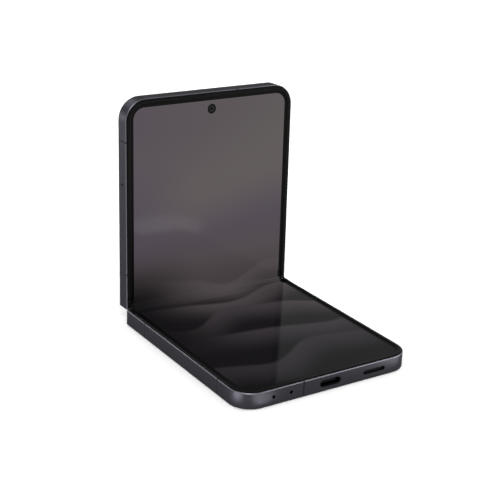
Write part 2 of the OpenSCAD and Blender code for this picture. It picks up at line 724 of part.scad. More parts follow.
module main_camera() rear_camera(cams[0]);
module wide_camera() rear_camera(cams[1]);

module camera_rings() color(GRAPHITE) upper() for (c = cams) translate([c[0], c[1], 0]) rotate_extrude() {
    inner_r = ring_r - ring_wall;
    edge = 0.25;
    polygon([[inner_r, edge - ring_h], [inner_r + edge, -ring_h], [ring_r - edge, -ring_h],
             [ring_r, edge - ring_h], [ring_r, cover_z], [inner_r, cover_z]]);
}

module camera_lenses() color([0.03, 0.03, 0.05]) upper() for (c = cams)
    translate([c[0], c[1], 0.25 - ring_h]) cylinder(r = ring_r - ring_wall - fit, h = lens_t);

module flash_lens() color([0.9, 0.85, 0.6]) upper() translate([flash_pos[0], flash_pos[1], 0]) {
    cylinder(r = flash_r, h = glass_t);
    translate([0, 0, glass_t]) cylinder(r = flash_r - part_gap, h = board_z - glass_t);
}

module earpiece() color(BLACK) upper()
    box([selfie_box + 1, inner_end - 0.4 - earpiece_l, mid_z - 2],
        [selfie_box + 1 + earpiece_w, inner_end - 0.4, mid_z]);

// Cage that the tray slides into, open on the left
module sim_reader() color(STEEL) upper() difference() {
    y0 = tray_y - tray_l / 2 - 2 * reader_wall;
    y1 = tray_y + tray_l / 2 + 2 * reader_wall;
    box([-inner_w + part_gap, y0, tray_z - reader_drop], [reader_x1, y1, board_z]);
    box([-inner_w - over, y0 + reader_wall, tray_z - reader_drop + 0.2],
        [reader_x1 - reader_wall, y1 - reader_wall, board_z - 0.2]);
}

// A ribbon along the rail with a switch behind the side key and two behind the volume key
module key_switches() color(COPPER) upper() {
    ribbon_x = inner_w - 1.2;
    ribbon_t = 0.3;
    box([ribbon_x - ribbon_t, side_key_y - side_key_l, key_slot_z - key_h / 2],
        [ribbon_x, volume_key_y + volume_key_l / 2, mid_z]);
    for (y = [side_key_y, volume_key_y - volume_key_l / 4, volume_key_y + volume_key_l / 4])
        box([ribbon_x, y - switch_w / 2, key_slot_z - switch_h / 2],
            [inner_w - key_travel - part_gap, y + switch_w / 2, key_slot_z + switch_h / 2]);
}

module upper_screws() color(STEEL) upper() {
    arm_screws(false);
    for (x = upper_screw_x()) screw(x, upper_screw_y, board_z);
}

module upper_hinge_arms() color(STEEL) upper() hinge_arms(false);

// ---- pieces that slide ----

module sim_tray() color(GRAPHITE) upper() difference() {
    union() {
        side_slot(tray_y, tray_z, tray_l, tray_h, -half_w, tray_face - half_w);
        box([tray_face - half_w - 0.1, tray_y - tray_l / 2 + 0.5, tray_z - tray_t / 2],
            [tray_depth - half_w, tray_y + tray_l / 2 - 0.5, tray_z + tray_t / 2]);
    }
    translate([-half_w - over, tray_y - tray_l / 2 + 1.3, tray_z]) rotate([0, 90, 0])
        cylinder(d = pin_d, h = over + tray_face + 0.2);
    box([1 + tray_face - half_w, tray_y - 4, tray_z - 0.1],
        [tray_depth - 1 - half_w, tray_y + 6, tray_z + over]);
}

module key(y, l) {
    side_slot(y, key_slot_z, l, key_h, inner_w + flange_t, half_w + key_proud);
    side_slot(y, key_slot_z, l + 2 * flange, key_h + 2 * flange, inner_w, inner_w + flange_t);
}

module side_key() color(GRAPHITE) upper() key(side_key_y, side_key_l);

module volume_key() color(GRAPHITE) upper() key(volume_key_y, volume_key_l);

lower_frame();
lower_antenna_breaks();
lower_back_glass();
lower_support_plate();
lower_screen();
lower_bezel();
lower_hinge_caps();
lower_battery();
charging_coil();
lower_board();
usb_port();
loudspeaker();
speaker_mesh();
microphones();
vibration_motor();
lower_screws();
lower_hinge_arms();
spine_cover();
spine_end_caps();
left_hinge_bracket();
right_hinge_bracket();
friction_leaves();
spine_liner();
bracket_screws();
fold_screen();
fold_flex();
upper_frame();
upper_antenna_breaks();
cover_glass();
cover_screen();
upper_support_plate();
upper_screen();
upper_bezel();
upper_hinge_caps();
upper_battery();
main_board();
shield_cans();
front_camera();
main_camera();
wide_camera();
camera_rings();
camera_lenses();
flash_lens();
earpiece();
sim_reader();
key_switches();
upper_screws();
upper_hinge_arms();
sim_tray();
side_key();
volume_key();
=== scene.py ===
"""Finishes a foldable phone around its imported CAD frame.

The frame gives the metal bodies, glass, hinge and inner parts at their real size. This script
gives each of them a finish, and models what CAD leaves plain: the bending screen and the ribbon
under it, the soft bezels, bumpers and seals round it, and the camera glass.
"""

import json
import math
from contextlib import contextmanager

import bmesh
import bpy
import numpy as np
from bpy.props import FloatProperty, FloatVectorProperty, PointerProperty
from mathutils import Matrix, Vector

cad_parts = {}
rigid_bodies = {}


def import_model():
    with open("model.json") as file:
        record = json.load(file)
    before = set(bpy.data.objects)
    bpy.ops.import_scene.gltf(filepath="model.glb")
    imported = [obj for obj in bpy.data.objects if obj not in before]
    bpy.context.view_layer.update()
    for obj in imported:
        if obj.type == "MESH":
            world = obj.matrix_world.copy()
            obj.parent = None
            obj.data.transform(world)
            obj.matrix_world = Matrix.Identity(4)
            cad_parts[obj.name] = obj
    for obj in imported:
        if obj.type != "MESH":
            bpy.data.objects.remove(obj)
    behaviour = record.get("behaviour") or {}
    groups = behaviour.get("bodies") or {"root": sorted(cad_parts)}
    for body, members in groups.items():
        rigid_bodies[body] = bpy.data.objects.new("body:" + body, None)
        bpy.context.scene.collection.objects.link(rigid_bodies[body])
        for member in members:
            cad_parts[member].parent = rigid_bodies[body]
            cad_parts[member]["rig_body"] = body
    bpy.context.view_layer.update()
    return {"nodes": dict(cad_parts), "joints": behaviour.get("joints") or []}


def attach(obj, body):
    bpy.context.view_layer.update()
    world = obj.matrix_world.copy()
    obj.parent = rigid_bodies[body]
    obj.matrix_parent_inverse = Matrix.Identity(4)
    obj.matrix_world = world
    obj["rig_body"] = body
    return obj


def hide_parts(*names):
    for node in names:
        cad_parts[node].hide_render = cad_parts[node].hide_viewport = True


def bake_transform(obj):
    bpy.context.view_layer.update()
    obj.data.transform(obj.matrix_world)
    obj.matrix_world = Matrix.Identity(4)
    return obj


bl_info = {
    "name": "Foldable Phone Finish",
    "version": (1, 0, 0),
    "blender": (4, 5, 0),
    "location": "3D View > Sidebar > Foldable Phone",
    "description": "Screen, bezels, lenses, finishes and a plain studio for a foldable phone",
    "category": "Object",
}

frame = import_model()

MM = 0.001
PHOTO_SIZE = 500


# Places, read from the frame. "Opened" coordinates are those of the phone lying flat and unfolded,
# face up: x across, y along from the lower half's end to the upper half's end, z up.

JOINTS = {joint["name"]: joint for joint in frame["joints"]}
LOW_AXIS = np.array(JOINTS["lower_fold"]["pos_m"])
HIGH_AXIS = np.array(JOINTS["upper_fold"]["pos_m"])
TURN = -math.radians(JOINTS["lower_fold"]["range_deg"][0])
UPPER_BODIES = ("upper_half", "sim_tray", "side_key", "volume_key")
HALVES = (("lower", False), ("upper", True))


def points_of(x, y, z):
    """Points from their three coordinates, which are spread to one shape."""
    return np.stack(np.broadcast_arrays(x, y, z), axis=-1)


def turned(points, axis_point, angle):
    """Points turned by an angle about the line along X through a point, by the plane rotation
    y' = c + (y - c) cos a - (z - d) sin a, z' = d + (y - c) sin a + (z - d) cos a."""
    y = points[..., 1] - axis_point[1]
    z = points[..., 2] - axis_point[2]
    cosine, sine = np.cos(angle), np.sin(angle)
    return points_of(
        points[..., 0], axis_point[1] + cosine * y - sine * z, axis_point[2] + sine * y + cosine * z
    )


def stood(points, upper):
    """Opened points of a half at their place with the phone half folded: the upper half turns about
    the lower fold axis and then about the upper one, and the lower half stays."""
    if not upper:
        return points
    return turned(turned(points, LOW_AXIS, TURN), HIGH_AXIS, TURN)


def mesh_points(mesh):
    """All vertices of a mesh as an array of rows."""
    points = np.empty(len(mesh.vertices) * 3)
    mesh.vertices.foreach_get("co", points)
    return points.reshape(-1, 3)


def opened_box(node):
    """Lowest and highest corner of a CAD node in opened coordinates."""
    shown = frame["nodes"][node]
    points = mesh_points(shown.data)
    if shown["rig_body"] in UPPER_BODIES:
        points = turned(turned(points, HIGH_AXIS, -TURN), LOW_AXIS, -TURN)
    return points.min(axis=0), points.max(axis=0)


def middle_of(node):
    """Middle of a CAD node's box in opened coordinates."""
    low, high = opened_box(node)
    return (low + high) / 2


def camera_pair(node):
    """Middle, in opened coordinates, and radius of each of a node's two equal round pieces, which
    lie side by side across the phone."""
    low, high = opened_box(node)
    radius = (high[1] - low[1]) / 2
    return [((x, (low[1] + high[1]) / 2), radius) for x in (low[0] + radius, high[0] - radius)]


def both(ending):
    """The names of the lower and the upper node of a pair."""
    return "lower_" + ending, "upper_" + ending


LOWER_SCREEN = opened_box("lower_screen")
UPPER_SCREEN = opened_box("upper_screen")
LOWER_BEZEL = opened_box("lower_bezel")
FOLD_Y = (LOWER_SCREEN[1][1] + UPPER_SCREEN[0][1]) / 2
PANEL_HALF, _, FACE_Z = LOWER_SCREEN[1]
PANEL_END = FOLD_Y - LOWER_SCREEN[0][1]
BEZEL_HALF, _, BEZEL_TOP = LOWER_BEZEL[1]
BEZEL_END = FOLD_Y - LOWER_BEZEL[0][1]
BEZEL_START = FOLD_Y - LOWER_BEZEL[1][1]
BEZEL_FOOT = LOWER_BEZEL[0][2]
FRAME_HALF, _, FRAME_FACE = opened_box("lower_frame")[1]

# Corner radii of the screen panel, of its lit area and of the bezel's outer edge, the radius of the
# screen's hole over the front camera, the play round a soft piece in its pocket, and how far the
# bezel's lip lies over the screen.

PANEL_CORNER = 6.85 * MM
LIT_CORNER = 4.6 * MM
BEZEL_CORNER = 7.85 * MM
CAMERA_HOLE = 1.95 * MM
PLAY = 0.02 * MM
LIFT = 0.01 * MM


def srgb(red, green, blue):
    """An 8-bit colour as the linear numbers that shaders take."""
    channels = [channel / 255 for channel in (red, green, blue)]
    return tuple(c / 12.92 if c <= 0.04045 else ((c + 0.055) / 1.055) ** 2.4 for c in channels)


# What a user would change


def length(label, about, default, lowest, highest):
    """A property that holds a length, with its numbers given in millimetres."""
    return FloatProperty(
        name=label, description=about, default=default * MM, min=lowest * MM, max=highest * MM,
        subtype="DISTANCE", unit="LENGTH", precision=5,
    )


def rotation(label, about, degrees):
    """A property that holds an angle."""
    return FloatProperty(
        name=label, description=about, default=math.radians(degrees),
        subtype="ANGLE", unit="ROTATION",
    )


def colour(label, about, default):
    """A property that holds a linear colour."""
    return FloatVectorProperty(
        name=label, description=about, default=default, min=0, max=1, size=3, subtype="COLOR"
    )


class PhoneSizes(bpy.types.PropertyGroup):
    """Sizes of the pieces that are modelled here."""

    screen_gap: length("Screen gap", "Play between the screen and the bezel's foot", 0.15, 0, 1)
    screen_sheet: length("Screen sheet", "Thickness of the bending screen", 0.3, 0.1, 0.4)
    bend_reach: length("Bend reach", "Reach of the bend to each side of the fold", 3.7, 2, 4.5)
    lit_border: length("Lit border", "From the bezel's outer edge to the lit area", 2.6, 1, 4)
    bezel_lip: length("Bezel lip", "Thickness of the bezel's inner edge", 0.05, 0.02, 0.3)
    bezel_nose: length("Bezel nose", "Length of the rounded end of a bezel", 1.1, 0.3, 3)
    ribbon_half: length("Ribbon half width", "Half the width of the ribbon", 5, 2, 12)
    lens_rise: length("Lens rise", "Rise of the rear camera glass at its middle", 0.12, 0, 0.2)


class PhoneColours(bpy.types.PropertyGroup):
    """Colours of the finishes."""

    metal: colour("Metal", "Anodised body", srgb(54, 53, 58))
    # The edge colour is paler than the body partly as a painted highlight.
    metal_edge_highlight: colour("Metal edge", "Polished edge of the body", srgb(99, 98, 105))
    antenna: colour("Antenna break", "Plastic bands in the body", srgb(19, 19, 20))
    bezel: colour("Bezel", "Soft frame round the screen", srgb(9, 9, 9))
    back_glass: colour("Back glass", "Satin outside glass", srgb(52, 51, 56))
    cover_glass: colour("Cover glass", "Glossy glass round the cameras", srgb(8, 8, 9))
    screen_sky: colour("Screen sky", "Light upper part of the picture", srgb(92, 86, 87))
    screen_glow: colour("Screen glow", "Lightest band of the picture", srgb(97, 91, 90))
    screen_dusk: colour("Screen dusk", "Violet part of the picture", srgb(80, 72, 84))
    screen_ridge: colour("Screen ridge", "Lit crests of the lower part", srgb(80, 73, 75))
    screen_shade: colour("Screen shade", "Dim slopes of the lower part", srgb(42, 39, 44))
    screen_depth: colour("Screen depth", "Darkest feet of the slopes", srgb(12, 11, 13))
    floor: colour("Floor", "Pale studio floor", (0.94, 0.94, 0.94))


class PhoneCamera(bpy.types.PropertyGroup):
    """Where the camera stands, which way it looks and its focal length."""

    azimuth: rotation("Azimuth", "Camera's way round the phone; 0 looks along +Y", -34.079)
    elevation: rotation("Elevation", "How far the camera looks down", 20.613)
    roll: rotation("Roll", "Camera's turn about its own line of sight", 2.591)
    focal_pixels: FloatProperty(
        name="Focal length", description="Focal length in pixels of the 500-pixel picture",
        default=1192.2, min=300, max=5000,
    )
    place: FloatVectorProperty(
        name="Place", description="Where the camera stands", size=3,
        default=(-0.23845, -0.33907, 0.19483), subtype="TRANSLATION", unit="LENGTH",
    )


def sizes():
    """The size settings."""
    return bpy.context.scene.phone_sizes


def colours():
    """The colour settings."""
    return bpy.context.scene.phone_colours


# Meshes


def surface(name, grid, ring=False, caps=False):
    """An object whose mesh is one grid of points, each cell a quad. With ring, the last column
    joins the first. With caps, the first and last rows are closed by one face each, doubles are
    merged and faces point outwards."""
    rows, columns = grid.shape[:2]
    row, column = np.meshgrid(
        np.arange(rows - 1), np.arange(columns if ring else columns - 1), indexing="ij"
    )
    after = (column + 1) % columns
    near, far = row * columns, (row + 1) * columns
    corners = np.stack([near + column, near + after, far + after, far + column], axis=-1)
    faces = corners.reshape(-1, 4).tolist()
    if caps:
        faces.append(list(range(columns)))
        faces.append(list(range((rows - 1) * columns, rows * columns)))
    mesh = bpy.data.meshes.new(name)
    mesh.from_pydata(grid.reshape(-1, 3).tolist(), [], faces)
    piece = bpy.data.objects.new(name, mesh)
    bpy.context.scene.collection.objects.link(piece)
    if caps:
        tidy_shell(mesh)
    return piece


@contextmanager
def opened_shell(mesh):
    """A mesh opened for changes, which are written back at the end."""
    shell = bmesh.new()
    shell.from_mesh(mesh)
    yield shell
    shell.to_mesh(mesh)
    shell.free()


def tidy_shell(mesh):
    """Merges doubled points of a closed shell and turns its faces outwards."""
    with opened_shell(mesh) as shell:
        bmesh.ops.remove_doubles(shell, verts=shell.verts, dist=1e-7)
        bmesh.ops.dissolve_degenerate(shell, edges=shell.edges, dist=1e-7)
        bmesh.ops.recalc_face_normals(shell, faces=shell.faces)


def smooth(piece, degrees=35):
    """Smooth shading that keeps edges sharper than the angle."""
    piece.data.shade_smooth()
    limit = math.radians(degrees)
    with opened_shell(piece.data) as shell:
        for edge in shell.edges:
            edge.smooth = len(edge.link_faces) == 2 and edge.calc_face_angle() < limit


def finish_modifiers(piece):
    """Puts the result of a piece's modifiers into its mesh."""
    bpy.context.view_layer.update()
    shaped = piece.evaluated_get(bpy.context.evaluated_depsgraph_get())
    final = bpy.data.meshes.new_from_object(shaped)
    piece.modifiers.clear()
    old = piece.data
    piece.data = final
    bpy.data.meshes.remove(old)
    final.name = piece.name


def thicken(piece, thickness):
    """Gives an open surface a wall of that thickness behind its faces."""
    wall = piece.modifiers.new("wall", "SOLIDIFY")
    wall.thickness = thickness
    wall.offset = -1
    return wall


def move_points(piece, points):
    """Gives a piece's vertices new places."""
    piece.data.vertices.foreach_set("co", np.ascontiguousarray(points, float).ravel())
    piece.data.update()


def stand(piece, upper, degrees=35):
    """Moves a piece that was made in opened coordinates to its place, and smooths it."""
    move_points(piece, stood(mesh_points(piece.data), upper))
    smooth(piece, degrees)
    return piece


def write_uv(piece, across, along):
    """Writes two numbers for each vertex into the piece's UV map."""
    mesh = piece.data
    for old in list(mesh.uv_layers):
        mesh.uv_layers.remove(old)
    layer = mesh.uv_layers.new(name="UVMap")
    corners = np.empty(len(mesh.loops), dtype=np.int64)
    mesh.loops.foreach_get("vertex_index", corners)
    uv = np.stack([across, along], axis=-1)
    layer.data.foreach_set("uv", uv[corners].astype(np.float32).ravel())


def revolve(name, profile, centre, upper, steps=96):
    """A closed piece turned about the line through centre, square to a half's face. The profile is
    rows of (radius, height); a point is centre + radius (cos a, sin a) across the face and its
    height along it. Its UV map holds the place across the face, 0.5 at the middle."""
    profile = np.asarray(profile, float)
    angle = np.linspace(0, 2 * math.pi, steps, endpoint=False)
    radius, height = profile[:, :1], profile[:, 1:]
    grid = points_of(
        centre[0] + radius * np.cos(angle), centre[1] + radius * np.sin(angle), height
    )
    piece = surface(name, grid, ring=True, caps=True)
    x, y, _ = mesh_points(piece.data).T
    reach = 2 * profile[:, 0].max()
    write_uv(piece, (x - centre[0]) / reach + 0.5, (y - centre[1]) / reach + 0.5)
    return stand(piece, upper)


def joined(name, first, *others):
    """One piece made of several meshes."""
    with opened_shell(first.data) as shell:
        for part in others:
            shell.from_mesh(part.data)
    for part in others:
        bpy.data.objects.remove(part)
    first.name = name
    first.data.name = name
    return first


# Materials


class Signal:
    """The output of a shader node, on which + - * add Math nodes."""

    def __init__(self, nodes, socket):
        self.nodes = nodes
        self.socket = socket

    def math(self, operation, *values):
        """A Math node on this signal and the values."""
        inputs = dict(enumerate((self, *values)))
        return self.nodes.add("ShaderNodeMath", {"operation": operation}, inputs)

    def __add__(self, other):
        return self.math("ADD", other)

    def __sub__(self, other):
        return self.math("SUBTRACT", other)

    def __mul__(self, other):
        return self.math("MULTIPLY", other)

    def __rsub__(self, other):
        return self * -1 + other

    __radd__ = __add__
    __rmul__ = __mul__

    def output(self, name):
        """Another output of the same node."""
        return Signal(self.nodes, self.socket.node.outputs[name])

    def away(self, other):
        """How far the point with these two coordinates lies from zero."""
        return (self * self + other * other).math("SQRT")

    def step(self, start, end, low=0, high=1):
        """Rises smoothly from low at start to high at end."""
        inputs = {"Value": self, "From Min": start, "From Max": end, "To Min": low, "To Max": high}
        return self.nodes.add("ShaderNodeMapRange", {"interpolation_type": "SMOOTHSTEP"}, inputs)

    def wave(self, period, phase=0):
        """A sine of this signal, from -1 to 1."""
        return (self * (2 * math.pi / period) + phase).math("SINE")

    def ripple(self, period):
        """A sine of this signal, from 0 to 1."""
        return self.wave(period) * 0.5 + 0.5


class Nodes:
    """A node tree whose nodes all come from one method."""

    def __init__(self, tree):
        self.tree = tree

    def add(self, kind, settings=None, inputs=None, output=0):
        """A node: its settings first, then its sockets. Gives the named output as a signal, or None
        where the node has no outputs."""
        node = self.tree.nodes.new(kind)
        for key, value in (settings or {}).items():
            if key == "stops":
                self.fill_ramp(node.color_ramp, value)
            else:
                setattr(node, key, value)
        for key, value in (inputs or {}).items():
            self.feed(node.inputs[key], value)
        return Signal(self, node.outputs[output]) if node.outputs else None

    def fill_ramp(self, ramp, stops):
        """Gives a colour ramp its stops, each a place and a grey level."""
        while len(ramp.elements) > 1:
            ramp.elements.remove(ramp.elements[-1])
        for index, (place, level) in enumerate(stops):
            element = ramp.elements[0] if index == 0 else ramp.elements.new(place)
            element.position = place
            element.color = (level, level, level, 1)

    def feed(self, socket, value):
        """Links a signal to a socket, or sets a constant on it."""
        if isinstance(value, Signal):
            self.tree.links.new(value.socket, socket)
        elif socket.type == "RGBA":
            socket.default_value = (*value[:3], 1)
        else:
            socket.default_value = value

    def place(self):
        """Object coordinates."""
        return self.add("ShaderNodeTexCoord", output="Object")

    def uv(self):
        """The two numbers of the UV map."""
        return self.axes(self.add("ShaderNodeUVMap"))[:2]

    def axes(self, vector):
        """The three parts of a vector."""
        split = self.add("ShaderNodeSeparateXYZ", inputs={0: vector})
        return [split.output(axis) for axis in "XYZ"]

    def mapped(self, vector, move=(0, 0, 0), turn=(0, 0, 0), scale=(1, 1, 1)):
        """A vector moved, turned and scaled."""
        inputs = {"Vector": vector, "Location": move, "Rotation": turn, "Scale": scale}
        return self.add("ShaderNodeMapping", inputs=inputs)

    def noise(self, vector, grain, detail=2, scale=None):
        """Noise from 0 to 1 whose blotches are about grain metres wide, drawn out along each axis
        whose scale is under 1."""
        if scale:
            vector = self.mapped(vector, scale=scale)
        inputs = {"Vector": vector, "Scale": 1 / grain, "Detail": detail}
        return self.add("ShaderNodeTexNoise", inputs=inputs)

    def smear(self, vector, grain, stretch):
        """Soft wiping marks from 0 to 1, drawn out along the glass by 1 / stretch."""
        return self.noise(vector, grain, detail=3, scale=(1, stretch, stretch))

    def mix(self, factor, first, second):
        """A colour between two colours."""
        inputs = {"Factor": factor, 6: first, 7: second}
        return self.add("ShaderNodeMix", {"data_type": "RGBA"}, inputs, output=2)


class Finish(Nodes):
    """A material made from a Principled shader and the nodes that feed it."""

    def __init__(self, name, **constants):
        self.material = bpy.data.materials.new(name)
        self.material.use_nodes = True
        super().__init__(self.material.node_tree)
        self.shader = self.tree.nodes["Principled BSDF"]
        self.set(**constants)

    def set(self, **inputs):
        """Feeds the shader's sockets, named with underscores for spaces."""
        for key, value in inputs.items():
            self.feed(self.shader.inputs[key.replace("_", " ")], value)

    def weave(self, pitch):
        """A square weave of two sines over the phone's outside, from 0 to 1."""
        across, _, up = self.axes(self.place())
        return across.wave(pitch) * up.wave(pitch) * 0.5 + 0.5

    def done(self, share, first, second, roughness, relief=None):
        """The material, with a colour between two, a roughness and a bump, which is given as its
        signal, its depth in metres and its strength."""
        self.set(Base_Color=self.mix(share, first, second), Roughness=roughness)
        if relief:
            height, depth, strength = relief
            inputs = {"Height": height, "Distance": depth, "Strength": strength}
            self.set(Normal=self.add("ShaderNodeBump", inputs=inputs))
        return self.material


def tint(base, factor):
    """A colour made lighter or darker."""
    return tuple(min(1, channel * factor) for channel in base[:3])


def half_place(finish, upper):
    """Object coordinates of a half, turned back so that x is across, y along and z out of its face,
    with z 0 on the outside glass."""
    place = finish.place()
    if not upper:
        return place
    foot = stood(np.array([[0.0, FOLD_Y, 0.0]]), True)[0]
    back = finish.mapped(place, move=tuple(-foot))
    return finish.mapped(back, turn=(-2 * TURN, 0, 0))


def past_corner(across, along, half, end, corner):
    """How far a point lies outside a rectangle with round corners: sqrt(dx^2 + dy^2) - r, where dx
    and dy are how far |x| and |y| reach past the middle of a corner."""
    side = (across.math("ABSOLUTE") - (half - corner)).math("MAXIMUM", 0)
    tip = (along.math("ABSOLUTE") - (end - corner)).math("MAXIMUM", 0)
    return side.away(tip) - corner


def metal_finish(name, base, edge, upper):
    """Anodised aluminium: a blasted grain, faint long streaks from machining, a polished chamfer
    round the face whose paler colour is partly a painted highlight, and the flat rim between the
    chamfer and the bezel black and not metallic."""
    finish = Finish(name, Specular_Tint=(0.5, 0.5, 0.5), Specular_IOR_Level=0.1)
    place = half_place(finish, upper)
    depth = finish.axes(place)[2]
    speckle = finish.noise(place, 0.09 * MM, detail=1)
    streaks = finish.noise(place, 0.35 * MM, scale=(0.12, 0.12, 1))
    cloud = finish.noise(place, 14 * MM, detail=1)
    # The chamfer's paler edge colour is partly a painted highlight.
    chamfer = depth.step(FRAME_FACE - 0.34 * MM, FRAME_FACE - 0.27 * MM)
    black_rim = depth.step(FRAME_FACE - 0.03 * MM, FRAME_FACE - 0.01 * MM)
    tone = speckle * 0.22 + streaks * 0.3 + cloud * 0.48
    body = finish.mix(tone, tint(base, 0.86), tint(base, 1.14))
    finish.set(Metallic=black_rim * -0.95 + 0.95)
    return finish.done(
        black_rim, finish.mix(chamfer, body, edge), colours().bezel,
        chamfer * -0.08 + streaks * 0.08 + black_rim * 0.2 + 0.4, (speckle, 0.003 * MM, 0.5),
    )


def plastic_finish(name, base, roughness=0.5, shine=0.2):
    """Moulded plastic with a fine spark-eroded grain and slightly uneven gloss."""
    finish = Finish(name, Specular_IOR_Level=shine)
    place = finish.place()
    speckle = finish.noise(place, 0.12 * MM)
    patches = finish.noise(place, 9 * MM)
    return finish.done(
        speckle * 0.5 + patches * 0.5, tint(base, 0.8), tint(base, 1.2),
        patches * 0.12 + (roughness - 0.06), (speckle, 0.006 * MM, 0.7),
    )


def steel_finish(name, base, roughness, lay=0.08):
    """Stamped or turned metal with brush marks drawn out across the phone by 1 / lay."""
    finish = Finish(name, Metallic=1)
    place = finish.place()
    marks = finish.noise(place, 0.12 * MM, detail=3, scale=(lay, 1, 1))
    patches = finish.noise(place, 5 * MM, detail=1)
    return finish.done(
        patches * 0.5 + marks * 0.5, tint(base, 0.85), tint(base, 1.1),
        marks * 0.14 + (roughness - 0.05), (marks, 0.004 * MM, 0.6),
    )


def back_glass_finish(name, base):
    """Satin outside glass: a fine pearly mottle in the colour and faint smears in the gloss."""
    finish = Finish(name, IOR=1.5, Metallic=0.25)
    place = finish.place()
    mica = finish.noise(place, 0.08 * MM, detail=1)
    smear = finish.smear(place, 13 * MM, 0.5)
    return finish.done(
        mica, tint(base, 0.84), tint(base, 1.16), smear * 0.08 + 0.3, (mica, 0.001 * MM, 0.4)
    )


def cover_glass_finish(name, base):
    """Glossy outside glass: a black printed border and rings round the cameras and the flash, and
    inside them the faintly lighter area of the unlit cover screen, with a round-cornered edge."""
    finish = Finish(name, IOR=1.5)
    place = half_place(finish, True)
    across, along, _ = finish.axes(place)
    low, high = opened_box("cover_glass")
    border, corner, ring = 2.6 * MM, 5.6 * MM, 1.0 * MM
    end = (high[1] - low[1]) / 2 - border
    from_middle = along - ((low[1] + high[1]) / 2 - FOLD_Y)
    outside = past_corner(across, from_middle, high[0] - border, end, corner)
    screen = outside.step(0.05 * MM, -0.05 * MM)
    low, high = opened_box("flash_lens")
    flash = ((low + high)[:2] / 2, (high[0] - low[0]) / 2)
    for (x, y), reach in (*camera_pair("camera_rings"), flash):
        away = (across - x).away(along - (y - FOLD_Y))
        screen = screen * away.step(reach + ring, reach + ring + 0.1 * MM)
    smear = finish.smear(place, 13 * MM, 0.5)
    return finish.done(screen, base, tint(base, 4), smear * 0.08 + 0.06)


def cover_screen_finish(name):
    """Switched-off cover screen: black with the faint grid of its touch layer."""
    finish = Finish(name, IOR=1.5, Coat_Weight=0.8, Coat_Roughness=0.03)
    grid = finish.weave(1.2 * MM)
    return finish.done(grid, srgb(6, 6, 8), srgb(12, 12, 16), grid * 0.04 + 0.08)


def board_finish(name):
    """Circuit board: dark solder mask with copper tracks on a square grid and pale pads."""
    finish = Finish(name)
    place = finish.place()
    bricks = {
        "Vector": place, "Scale": 1.0, "Mortar Size": 0.08 * MM, "Brick Width": 2.6 * MM,
        "Row Height": 1.1 * MM, "Mortar Smooth": 0.2, "Bias": -0.2,
    }
    cells = finish.add("ShaderNodeTexBrick", inputs=bricks, output="Fac")
    tracks = cells * finish.noise(place, 2.2 * MM, detail=0).step(0.48, 0.52)
    return finish.done(
        tracks, srgb(18, 46, 38), srgb(64, 92, 62), tracks * -0.12 + 0.46,
        (tracks, 0.02 * MM, 0.5),
    )


def foil_finish(name):
    """Laminated battery pouch: satin silver-black film with soft wrinkles."""
    finish = Finish(name, Metallic=0.5)
    place = finish.place()
    wrinkles = finish.noise(place, 3.2 * MM, detail=3, scale=(1, 0.4, 1))
    weave = finish.noise(place, 0.2 * MM, detail=1)
    return finish.done(
        wrinkles * 0.7 + weave * 0.3, srgb(44, 45, 48), srgb(88, 89, 94), wrinkles * 0.2 + 0.28,
        (wrinkles, 0.05 * MM, 0.6),
    )


def coil_finish(name):
    """Flat wound charging coil: enamelled wire turns, as rings about the coil's middle."""
    finish = Finish(name, Metallic=0.85)
    x, y, _ = middle_of("charging_coil")
    across, along, _ = finish.axes(finish.mapped(finish.place(), move=(-x, -y, 0)))
    turns = across.away(along).ripple(0.7 * MM)
    return finish.done(
        turns, srgb(92, 48, 28), srgb(196, 124, 84), turns * -0.12 + 0.4, (turns, 0.08 * MM, 0.8)
    )


def film_finish(name):
    """Ribbon: amber film over copper tracks that run along the phone."""
    finish = Finish(name, Coat_Weight=0.3)
    tracks = finish.axes(finish.place())[0].wave(0.6 * MM).step(-0.2, 0.2)
    return finish.done(
        tracks, srgb(92, 52, 24), srgb(172, 104, 52), tracks * -0.1 + 0.4,
        (tracks, 0.02 * MM, 0.6),
    )


def grille_finish(name):
    """Acoustic mesh: a fine square weave of dark wire, with its holes near-black as painted shade
    of the cavity behind.
    """
    finish = Finish(name, Specular_IOR_Level=0.1)
    # The holes are near-black: painted shade of the cavity behind the mesh.
    holes = finish.weave(0.42 * MM).step(0.35, 0.65)
    return finish.done(
        holes, srgb(2, 2, 2), srgb(9, 9, 10), holes * -0.2 + 0.6, (holes, 0.03 * MM, 0.8)
    )


def lens_finish(name, light=1.0, shine=0.2):
    """Camera glass seen from the front, by its UV map: a near-black middle, painted shade of the
    camera's dark inside, ringed by a faint violet and green painted reflection of the coating, set
    in fine black rings. Places are shares of its radius."""
    finish = Finish(name, IOR=1.52, Specular_IOR_Level=shine)
    across, along = finish.uv()
    radius = (across - 0.5).away(along - 0.5) * 2
    # The near-black middle is painted shade of the camera's dark inside.
    pupil_shade = radius.step(0.26, 0.3)
    # The violet and green bloom is a painted reflection of the lens coating.
    coating_reflection = radius.step(0.3, 0.52)
    seat = radius.step(0.6, 0.63)
    rings = radius.ripple(0.07)
    glass = finish.mix(coating_reflection, tint(srgb(34, 26, 52), light), tint(srgb(16, 30, 34), light))
    glass = finish.mix(pupil_shade, tint(srgb(6, 6, 9), light), glass)
    barrel = finish.mix(rings, tint(srgb(10, 10, 11), light), tint(srgb(30, 30, 32), light))
    return finish.done(seat, glass, barrel, seat * 0.22 + 0.05, (rings * seat, 0.02 * MM, 0.5))


def flash_finish(name):
    """Flash window: pale yellow moulded lens with concentric steps."""
    finish = Finish(name, IOR=1.5, Coat_Weight=0.5)
    middle = stood(middle_of("flash_lens")[None, :], True)[0]
    across, _, up = finish.axes(finish.mapped(finish.place(), move=tuple(-middle)))
    steps = across.away(up).ripple(0.3 * MM)
    return finish.done(
        steps, srgb(196, 178, 118), srgb(238, 230, 196), steps * 0.1 + 0.2,
        (steps, 0.04 * MM, 0.6),
    )


